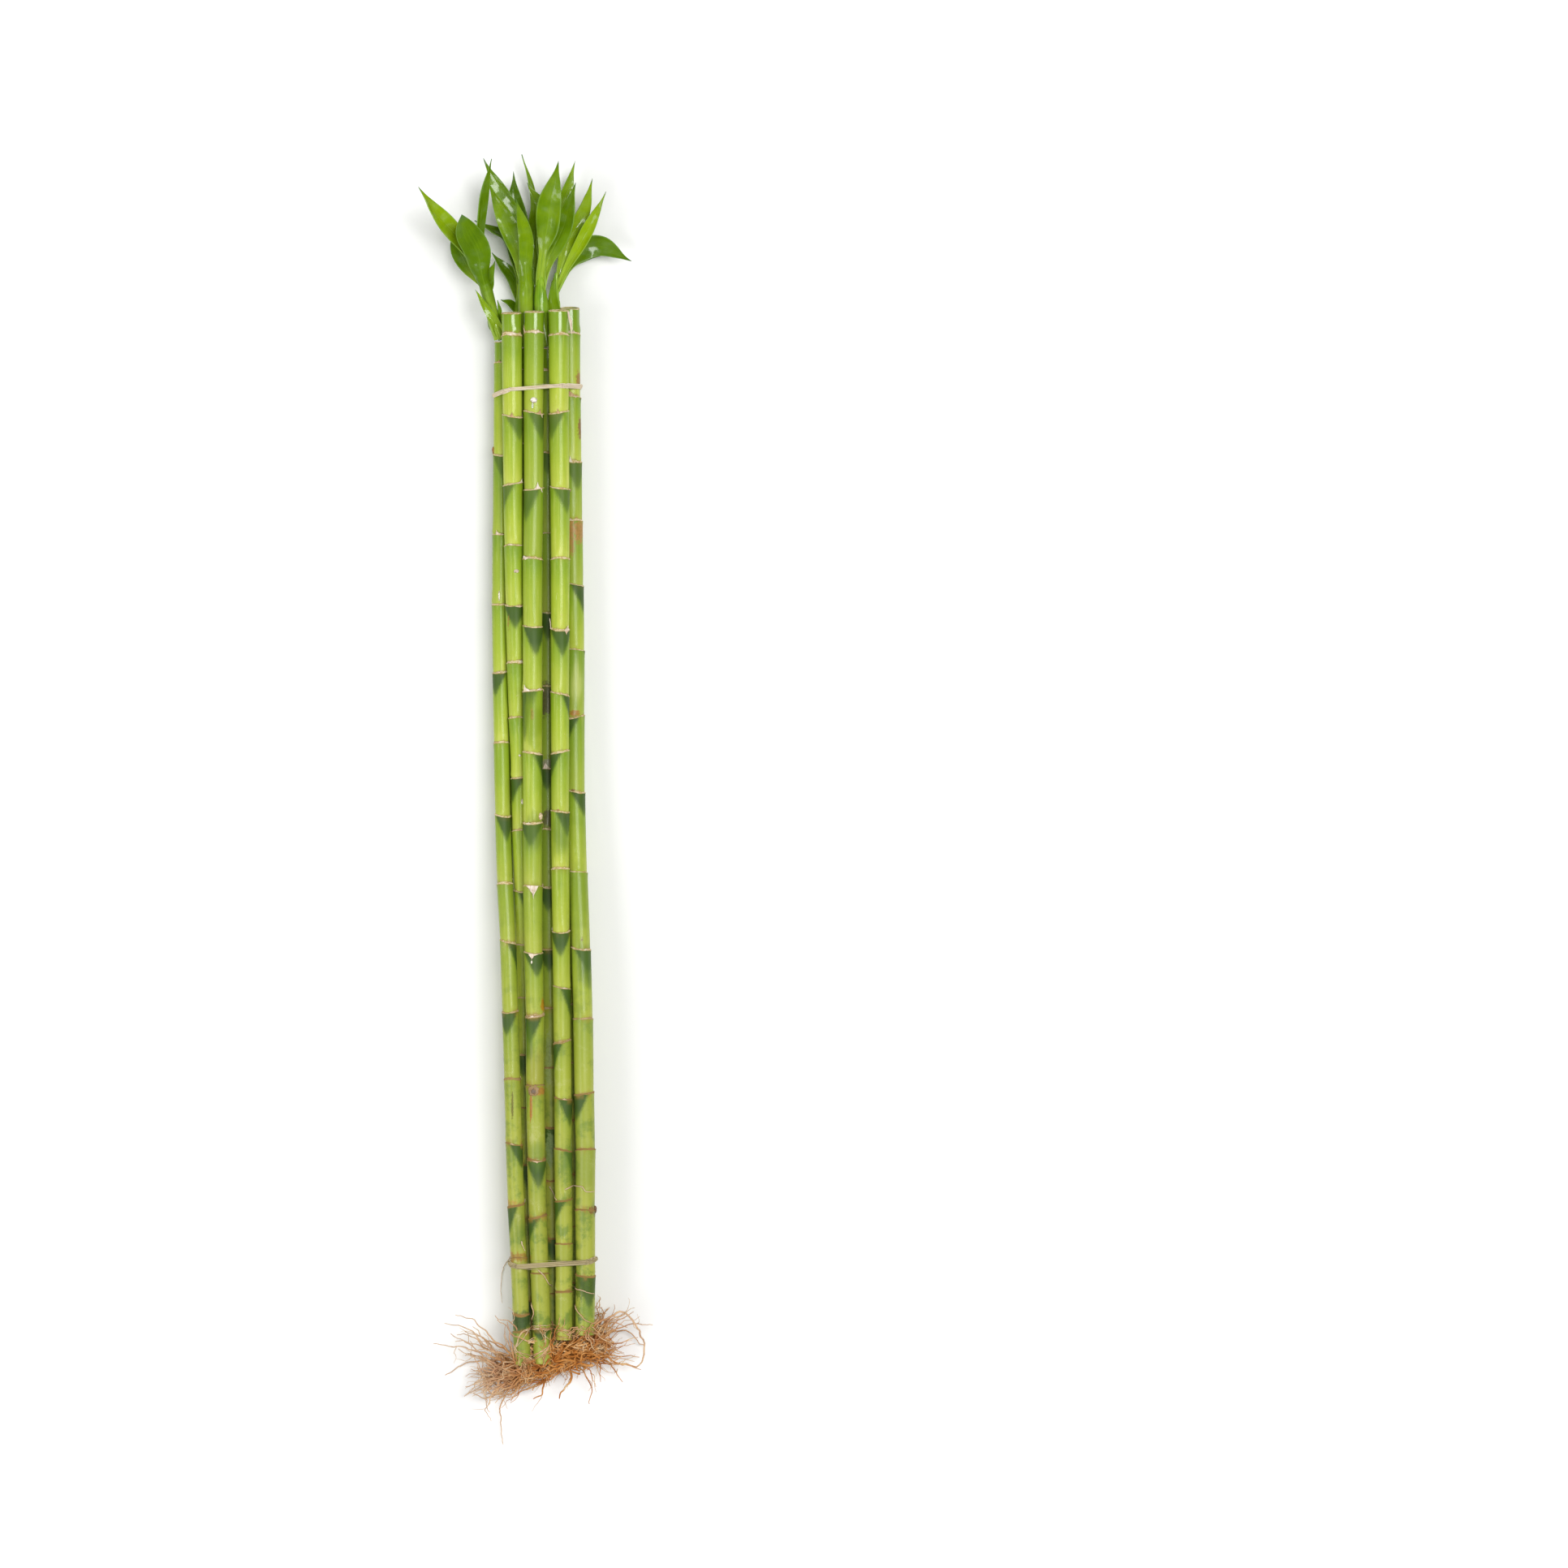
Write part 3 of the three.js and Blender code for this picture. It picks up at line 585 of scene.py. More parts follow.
def cane_skin():
    """A cane's greens, its wedges, its stains and its scars."""
    made, tree, shader = material("cane_skin", 0.36, Coat_Roughness=0.12, Specular_IOR_Level=0.28)
    place = where(tree)
    streaks, flecks, clouds = placed(GREEN_GRAIN, Place=place)
    below, above, off = split(written(tree, "joint", "Vector"))
    reach, over, under = split(written(tree, "scar", "Vector"))
    shade = written(tree, "shade", "Fac")
    along = split(place)[1]

    # Each joint is a fuller green under its scar and paler towards the next.
    share = sums("DIVIDE", below, plus(below, above))
    colour = ramp(plus(share, scaled(clouds, 0.7, -0.35)), [
        (0.0, "7A991A"), (0.25, "8FA922"), (0.6, "A3B72E"), (0.9, "B3C040"), (1.0, "BCC64E")])
    colour = laid(colour, "82A02A", faded(streaks, 0.52, 0.72), 0.35)
    colour = laid(colour, "C8D06C", faded(streaks, 0.48, 0.3), 0.3)
    specks = wire(tree, "TexVoronoi", {"Vector": place, "Scale": 900.0, "Randomness": 1.0})
    colour = laid(colour, "6F8A22", faded(specks, 0.2, 0.05), 0.3)
    colour = laid(colour, "D2D88A", faded(flecks, 0.58, 0.75), 0.16)
    scratches = clouded(stretched(place, (1, 0.09, 1), (0.2, 0.3, 0.06)), 1700, 1)
    colour = laid(colour, "D6DC98", faded(scratches, 0.7, 0.8), 0.35)
    # A low shade lays a dull olive over the green: on the open canes a less fresh green, on the
    # canes deep in the bundle painted shade.
    colour = laid(colour, "6F8C28", faded(shade, 0.85, 0.0), 0.55)
    cut_end = faded(reach, 0.3, 0.0)
    colour = laid(colour, "6F920A", cut_end, 0.8)

    # The lower third is older: duller and paler, with patches of darker green.
    age = faded(along, 0.03, -0.19)
    patches = clouded(place, 95, 6, 0.72)
    colour = laid(colour, "A0A140", age, 0.72)
    colour = laid(colour, "647E2C", times(age, faded(patches, 0.48, 0.64)), 0.75)
    colour = laid(colour, "BABB74", times(age, faded(patches, 0.42, 0.3)), 0.6)

    # The wedge under a scar: a dark point, with a paler band round its side of the joint.
    left = sums("MAXIMUM", sums("SUBTRACT", 1.0, sums("DIVIDE", below, reach)), 0.0)
    beside = sums("ABSOLUTE", off)
    edge = sums("SUBTRACT", times(sums("POWER", left, 1.1), 90.0), beside)
    edge = plus(edge, scaled(flecks, 22.0, -11.0))
    edge = plus(edge, scaled(clouds, 24.0, -12.0))
    wedge = times(faded(edge, -14.0, 18.0), faded(left, 0.0, 0.25))
    wedge_green = mixed(faded(clouds, 0.35, 0.65), tint("3C5810"), tint("3A5320"))
    colour = laid(colour, "6E8E22", times(faded(beside, 85.0, 15.0), faded(share, 1.1, 0.0)), 0.45)
    depth = times(faded(left, -0.5, 0.6), scaled(faded(along, 0.08, 0.13), -0.25, 0.95))
    colour = mixed(times(wedge, depth), colour, wedge_green)

    # Orange and brown stains beside the older scars, and the marks that have a place.
    near = sums("MINIMUM", below, above)
    stain = times(faded(near, 2.6, 0.4), faded(clouds, 0.5, 0.62))
    colour = laid(colour, "9E7830", times(stain, scaled(age, 0.8, 0.1)), 0.7)
    woody = times(faded(clouded(place, 900, 4, 0.7), 0.42, 0.62), 0.55)
    for centre, size, code, strength in WASHES:
        far = out_from(place, centre, size, (clouds, 1.2, -0.6), (streaks, 0.8, -0.4))
        colour = laid(colour, code, faded(far, 1.3, 0.35), strength)
    for centre, size, code in STAINS:
        far = out_from(
            place, centre, size, (clouds, 1.4, -0.75), (streaks, 0.9, -0.45),
            (flecks, 0.5, -0.25), (woody, 0.7, -0.2))
        brown = mixed(woody, tint(code), [0.55 * value for value in tint(code)[:3]] + [1])
        colour = mixed(times(faded(far, 1.25, 0.7), 0.85), colour, brown)

    # The scars: a tan line with a brown edge, of uneven width.
    ragged = clouded(place, 330, 4, 0.7)
    width = scaled(ragged, 3.6, -0.95)
    low_side = sums("DIVIDE", below, times(over, width))
    high_side = sums("DIVIDE", above, times(under, width))
    line = sums("MINIMUM", times(low_side, 1.9), high_side)
    colour = laid(colour, "8E7A38", faded(line, 1.5, 0.85), 0.6)
    dry = mixed(faded(woody, 0.1, 0.5), tint("D8C79E"), tint("B99F66"))
    dry = laid(dry, "947440", faded(along, -0.02, -0.14))
    dried = faded(line, 0.85, 0.55)
    feed(shader, "Base Color", mixed(dried, colour, dry))

    # Fresh cut ends are wet and glossy, dry scars are dull.
    rough = scaled(cut_end, -0.18, scaled(wedge, 0.08, scaled(streaks, 0.18, 0.34)))
    feed(shader, "Roughness", scaled(dried, 0.4, rough))
    gloss = scaled(wedge, -0.12, scaled(cut_end, 0.35, 0.12))
    feed(shader, "Coat Weight", scaled(dried, -0.7, gloss))
    lift = scaled(streaks, 0.3, times(dried, ragged))
    bump(shader, scaled(flecks, 0.15, lift), 0.12 * MM, 0.7)
    return made


def cut_face():
    """The dry, corky face where a cane was cut."""
    made, tree, shader = material("cut_face", 0.75)
    place = where(tree)
    dots = wire(tree, "TexVoronoi", {"Vector": place, "Scale": 2600.0})
    colour = ramp(clouded(place, 500, 3), [(0.3, "C9B27C"), (0.55, "DCCB9B"), (0.75, "B99A66")])
    feed(shader, "Base Color", laid(colour, "A9875A", faded(dots, 0.3, 0.1)))
    bump(shader, dots, 0.15 * MM)
    return made


# Joints, or sides of them, that ripened darker or paler: centre, half size, colour, strength.
WASHES = [
    ((-0.8, 30, 25), (4.5, 12, 6), "7A9210", 0.75),
    ((-2.7, -96.6, 23), (2.4, 9, 4), "506C16", 0.7),
    ((19.8, -66, 22), (3.6, 9, 4), "466218", 0.8),
    ((19.2, -146.6, 22), (5, 12, 6), "788A32", 0.5),
    ((9.8, -14.4, 24), (4, 8, 5), "5A761C", 0.6),
    ((-0.5, -13, 25), (4.5, 8, 5), "567020", 0.6),
    ((0.4, -108, 24), (4.5, 10, 6), "8A862E", 0.5),
    ((18.3, -38, 23), (5, 17, 6), "78901A", 0.55),
    ((16.8, 47, 20), (4, 11, 5), "C0C870", 0.7),
    ((-6.6, -171.5, 22), (3.6, 8, 5), "547220", 0.65),
    ((12.4, -144.5, 23), (3.4, 9, 5), "5C7A26", 0.5),
    ((18.3, -12, 23), (5, 9, 6), "748E1C", 0.5),
    ((0.8, -141, 24), (3.4, 6, 5), "607C2A", 0.5),
]
# Brown and dark marks on the canes: centre, half size and colour.
STAINS = [
    ((16, 107.5, 13.5), (5.2, 4.4, 4.2), "B07C42"),
    ((13.2, 103, 15), (1.8, 7.5, 2), "A87A3E"),
    ((15.4, 34.6, 18.8), (2.6, 1.3, 3), "A8702A"),
    ((17.5, 147.5, 14.5), (1.2, 4.2, 3.6), "7E4A22"),
    ((17, 167.5, 15), (1.3, 3, 3), "9A6A38"),
    ((3.9, 39.5, 16.5), (4.6, 5.6, 3), "5E5636"),
    ((5.4, -7.5, 16.8), (3, 3.6, 3), "625A3C"),
    ((4.6, 14.6, 16.8), (3, 1.3, 3), "9C9A7C"),
    ((-9.2, -121.5, 24), (0.4, 4.2, 2.4), "6E6828"),
    ((4.6, -103, 17), (0.9, 9, 3), "93A25C"),
    ((5.2, -139, 17), (1.4, 6, 3), "869A5E"),
    ((-1.3, 34, 25.4), (0.5, 2, 1), "8F8524"),
    ((-1.8, -122, 24.8), (0.5, 5, 1.4), "A8661E"),
    ((1.6, -115.5, 23.4), (2.6, 1.5, 2.6), "B07A34"),
    ((3.1, -81.4, 23), (1.1, 2.2, 2.6), "B27A18"),
    ((-10.9, 71, 18.5), (0.5, 3.6, 2), "9A7030"),
    ((19, -55, 24), (1.3, 1, 1.4), "7A6136"),
    ((21.7, -163, 22), (1.6, 2.2, 3), "7C4A2C"),
    ((-10.4, -160, 21), (4.5, 1.5, 3.5), "B08F3A"),
    ((-7.6, -181.5, 21.5), (5.5, 2.1, 4), "9A722E"),
    ((-6.2, -207.6, 21), (5.5, 3.9, 5), "42562A"),
    ((19.6, -193.6, 21), (5.5, 4.8, 5.5), "4A6016"),
    ((18.6, -206, 22), (1.8, 2.4, 3), "4E6634"),
]

skin, flesh = cane_skin(), cut_face()
mark_draw = Draw(2024)
for name, cane in CANES.items():
    stem = grow(name, cane, mark_draw)
    stem.data.materials.append(skin)
    stem.data.materials.append(flesh)
    for face in stem.data.polygons:
        along = face.center.y / MM
        near_end = along > cane["ends"][0] - 1.5 or along < cane["ends"][1] + 0.2
        face.material_index = int(abs(face.normal.y) > 0.75 and near_end)
    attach(stem, "root")
    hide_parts("cane_" + name)


# Torn sheath. When the leaves are stripped, dry papery scraps of their sheaths stay on some
# scars. They stand up or hang down as thin ragged flaps.
SCRAP_ROWS, SCRAP_COLUMNS = 6, 6
SCRAP_THICKNESS = 0.1
# Cane, scar, side, width, height (up, or down where negative), lean of the point, how dark.
SCRAPS = [
    ("c", 123.5, 66, 2.8, 2.9, 0.1, 0), ("c", 123.5, 42, 0.7, -1.6, 0, 0.2),
    ("c", 43.5, 108, 4.2, 3, 0.8, 0), ("c", 43.5, 50, 2.4, 0.9, 0, 0.1),
    ("c", -34.5, 92, 5, -5.5, -0.2, 0.1), ("c", -60.5, 88, 4.2, -2.6, 0.3, 0.2),
    ("e", 135, 97, 1.8, 2.9, 0, 0), ("e", 185.5, 104, 3, 5, 0.3, 0.1),
    ("e", 185.5, 70, 3, 1.2, 0, 0.3), ("a", 105.5, 92, 3.7, 2, 0.7, 0.1),
    ("a", 51, 100, 2.5, 0.8, 0, 0.4), ("b", 152.5, 90, 2, 2.1, 0, 0.8),
    ("b", 125.5, 48, 3.2, 1.8, -0.8, 0.2), ("b", 101, 92, 4.5, 0.8, 0.6, 0.2),
    ("b", 184.5, 84, 4.4, 0.9, 0, 0.1), ("b", 184.5, 92, 4, -0.7, 0, 0),
    ("b", 54.5, 60, 3, 0.6, 0, 0), ("b", 77.5, 60, 4, -0.6, 0, 0.3),
    ("c", 154, 60, 2.3, 2.4, -0.6, 0.8), ("c", 154, 38, 1, -1.6, 0, 0.4),
    ("c", 185.5, 148, 1.6, 3.2, 0.7, 0.4), ("c", 185.5, 66, 4.2, 1, 0, 0.2),
    ("c", 185.5, 78, 4.6, -1, 0, 0.3), ("c", 95.5, 122, 4.6, 1.2, 0.6, 0),
    ("c", 95.5, 118, 4, -1, 0.4, 0), ("c", -9, 110, 3.4, 0.9, 0, 0.2),
    ("c", -85.5, 95, 4, 0.9, 0.2, 0.3), ("c", -142.5, 85, 4.4, -0.9, 0, 0.6),
    ("d", 154, 94, 1.5, 2.1, 0, 0.8), ("d", 68, 42, 2.6, 2.2, 0, 0.2),
    ("d", 68, 40, 2.8, -2, 0.4, 0.5), ("d", 68, 158, 0.5, 4.5, 0.3, 0.1),
    ("d", 194, 22, 1.4, -10, 0.2, 0), ("f", 13, 90, 3, 3.6, 0.3, 0.2),
    ("e", 111, 100, 2.4, 0.9, 0, 0.3), ("e", 160.5, 84, 6, 2.2, 0.2, 0.75),
    ("e", 160.5, 60, 2, -0.8, 0, 0.3), ("e", 33, 80, 1.6, 1, 0, 0.8),
    ("e", -59, 60, 1.5, 0.9, 0, 0), ("a", 174, 110, 1.2, 1.1, 0, 0.8),
    ("a", -136.5, 100, 2.2, 0.7, 0, 0.6), ("d", -118.5, 80, 2, 0.7, 0, 0.5),
    ("d", -74.5, 70, 3, 0.6, 0, 0.3),
]
# The share of the scars that has a small scrap on its back as well.
BACK_SCRAPS = 0.45


def strip(columns, rows, place):
    """A sheet of faces with its own UV map, each corner put where place(side, row) says."""
    bpy.ops.object.select_all(action="DESELECT")
    bpy.ops.mesh.primitive_grid_add(
        x_subdivisions=columns, y_subdivisions=rows, size=1, calc_uvs=True)
    made = bpy.context.object
    for vertex in made.data.vertices:
        vertex.co = place(2 * vertex.co.x, round((vertex.co.y + 0.5) * rows)) * MM
    return made


def sewn(made):
    """Merges the corners that meet and turns all faces outwards."""
    bpy.context.view_layer.objects.active = made
    bpy.ops.object.mode_set(mode="EDIT")
    bpy.ops.mesh.select_all(action="SELECT")
    bpy.ops.mesh.remove_doubles(threshold=0.01 * MM)
    bpy.ops.mesh.normals_make_consistent(inside=False)
    bpy.ops.object.mode_set(mode="OBJECT")
    return made


def thicken(made, thickness):
    """Gives a sheet its thickness, half to each side."""
    bpy.context.view_layer.objects.active = made
    bpy.ops.object.modifier_add(type="SOLIDIFY")
    made.modifiers[-1].thickness = thickness * MM
    made.modifiers[-1].offset = 0
    bpy.ops.object.modifier_apply(modifier=made.modifiers[-1].name)


def toned(made, tone):
    """Writes one tone on a whole sheet, for its material."""
    for value in made.data.attributes.new("tone", "FLOAT", "POINT").data:
        value.value = tone


def joined(parts, name):
    """Joins finished parts into one named piece."""
    bpy.ops.object.select_all(action="DESELECT")
    for part in parts:
        part.select_set(True)
    bpy.context.view_layer.objects.active = parts[0]
    bpy.ops.object.join()
    made = bpy.context.object
    made.name = name
    bpy.ops.object.shade_smooth_by_angle(angle=SHARP)
    return made


def joint_edge(cane, along, side):
    """A point on the crest of a scar, and the way out of the cane there."""
    x, z, r = spot_on(cane, along)
    turn = math.radians(side)
    wedge, tip = cane["leans"].get(along, (0, 0))
    lean = -tip * math.cos(turn - math.radians(wedge))
    out = Vector((math.cos(turn), 0, math.sin(turn)))
    return Vector((x, along + lean, z)) + out * r * 1.03, out


def scrap(cane, along, side, width, height, point, dark, draw):
    """A flap of dry sheath, rooted on the scar's crest and torn to a ragged point."""
    _, _, r = spot_on(cane, along)
    teeth = [draw(0.72, 1.0) for _ in range(SCRAP_COLUMNS + 1)]
    curl = draw(0.05, 0.28)

    def place(across, row):
        share = row / SCRAP_ROWS
        column = min(round((across + 1) / 2 * SCRAP_COLUMNS), SCRAP_COLUMNS)
        torn = 0.4 * abs(across + point) ** 1.5 if width > 1 else 0
        reach = height * share * teeth[column] * (1 - torn)
        narrow = across * (1 - share) ** 0.8 - point * (1 - (1 - share) ** 0.8)
        spot, out = joint_edge(cane, along, side - math.degrees(narrow * width / 2 / r))
        lift = 0.06 + curl * abs(height) * share * share + 0.1 * math.sin(7 * across + 5 * share)
        return spot + out * lift + Vector((0, reach, 0))

    made = strip(SCRAP_COLUMNS, SCRAP_ROWS, place)
    thicken(made, SCRAP_THICKNESS)
    toned(made, dark)
    return made


def dry_sheath():
    """Dry sheath: pale and papery, or brown where its tone is dark, with fibres along it."""
    made, tree, shader = material("dry_sheath", 0.6)
    fibres = clouded(stretched(where(tree), (1, 0.12, 1)), 1400, 3)
    pale = ramp(fibres, [(0.3, "C9B497"), (0.5, "E2D3BE"), (0.7, "F2EADF")])
    brown = ramp(fibres, [(0.3, "8C6128"), (0.5, "B0823F"), (0.7, "CBA468")])
    feed(shader, "Base Color", mixed(written(tree, "tone", "Fac"), pale, brown))
    bump(shader, fibres, 0.1 * MM)
    return made


paper = dry_sheath()
scrap_draw = Draw(606)
scraps = [scrap(CANES[name], *rest, scrap_draw) for name, *rest in SCRAPS]
for cane in CANES.values():
    for along in cane["joints"]:
        if scrap_draw() < BACK_SCRAPS:
            side, width = scrap_draw(180, 360), scrap_draw(0.8, 3)
            height = scrap_draw(0.4, 2.2) * (1 if scrap_draw() < 0.7 else -0.7)
            point, dark = scrap_draw(-0.8, 0.8), scrap_draw(0, 0.8)
            scraps.append(scrap(cane, along, side, width, height, point, dark, scrap_draw))
for made in scraps:
    made.data.materials.append(paper)
all_scraps = joined(scraps, "sheath_scraps")
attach(all_scraps, "root")


# Buds and knots. Small dormant buds, pale corky spots and one dark knot sit on the canes'
# skin, mostly just above a scar.
# Cane, place along, side, width, length, height off the skin, colour.
BUDS = [
    ("a", 139.2, 172, 1.3, 3.2, 0.5, "9A6A34"), ("b", -0.8, 74, 1.3, 2, 0.25, "E6DCC8"),
    ("c", -6.6, 35, 2, 3, 0.8, "DCC8A4"), ("b", 90.8, 74, 2.3, 1.3, 0.3, "E2D2BC"),
    ("c", 158.6, 86, 2.7, 2.4, 0.6, "F0EBE2"), ("c", 156.4, 94, 0.9, 2.4, 0.35, "DDEBD6"),
    ("a", 81.3, 95, 0.7, 4, 0.2, "ECE6D8"),
    ("b", 17.6, 84, 1, 1, 0.3, "EEE6D6"), ("c", -64.4, 100, 0.7, 1.4, 0.25, "E6DECC"),
    ("e", -162.7, 6, 1.4, 3.2, 0.7, "5C3B26"), ("c", -115.3, 98, 4.4, 4.6, 0.5, "9A7E54"),
    ("c", -115.6, 98, 2.6, 2.8, 0.75, "6E5E50"), ("e", 3.8, 100, 1.4, 1, 0.3, "8A6A3A"),
    ("d", -4, 100, 1.2, 0.9, 0.3, "A98A4A"),
]


# Blender's noise starts from the clock unless it is seeded.
noise.seed_set(23)


def bud(name, along, side, width, length, height, code):
    """A low oval swelling, half sunk in the cane's skin."""
    x, z, r = spot_on(CANES[name], along)
    turn, sunk = math.radians(side), r * 0.985
    middle = (x + sunk * math.cos(turn), along, z + sunk * math.sin(turn))
    bpy.ops.mesh.primitive_uv_sphere_add(
        segments=16, ring_count=10, radius=0.5 * MM, rotation=(0, math.radians(90) - turn, 0),
        location=[value * MM for value in middle], scale=(width, length, 2 * height))
    made = bpy.context.object
    bpy.ops.object.transform_apply(location=True, rotation=True, scale=True)
    for vertex in made.data.vertices:
        vertex.co += noise.noise_vector(vertex.co / (0.8 * MM)) * 0.1 * width * MM
    for value in made.data.attributes.new("tint", "FLOAT_COLOR", "POINT").data:
        value.color = tint(code)
    return made


def bud_skin():
    """Corky skin in each bud's own colour, with brown pits."""
    made, tree, shader = material("bud_skin", 0.55)
    cork = clouded(where(tree), 1500, 4)
    given = written(tree, "tint", "Color")
    feed(shader, "Base Color", laid(given, "7A5A32", faded(cork, 0.45, 0.62), 0.7))
    bump(shader, cork, 0.15 * MM)
    return made


all_buds = joined([bud(*line) for line in BUDS], "buds")
all_buds.data.materials.append(bud_skin())
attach(all_buds, "root")


# The shoots. Each is a young stem wrapped in the sheaths of its own leaves, which fan out at
# the top as narrow pointed blades. It grows out of a bud at the cane's cut end.
# Widths along a leaf from its foot to its tip: most leaves, one with a narrow foot, a broad
# blunt one, a strap that goes on from its sheath unnarrowed, and a bare sheath.
LEAF_OUTLINE = [0.34, 0.38, 0.48, 0.63, 0.8, 0.93, 1, 0.97, 0.82, 0.54, 0.2, 0]
SPOON_OUTLINE = [0.36, 0.34, 0.3, 0.38, 0.66, 0.9, 1, 0.96, 0.82, 0.54, 0.2, 0]
BROAD_OUTLINE = [0.4, 0.46, 0.58, 0.76, 0.92, 1, 1, 0.98, 0.9, 0.74, 0.44, 0]
STRAP_OUTLINE = [0.86, 0.84, 0.84, 0.88, 0.95, 1, 0.98, 0.9, 0.75, 0.5, 0.2, 0]
SHEATH_OUTLINE = [0.75, 0.95, 1, 0.94, 0.8, 0.62, 0.42, 0.2, 0]


def leaf(width, tone, turn, *path, front=False, outline=LEAF_OUTLINE):
    """One leaf's width, tone, turn about its own line and path; a front one clasps the stem."""
    return {
        "width": width, "tone": tone, "turn": turn, "path": path, "front": front,
        "outline": outline}


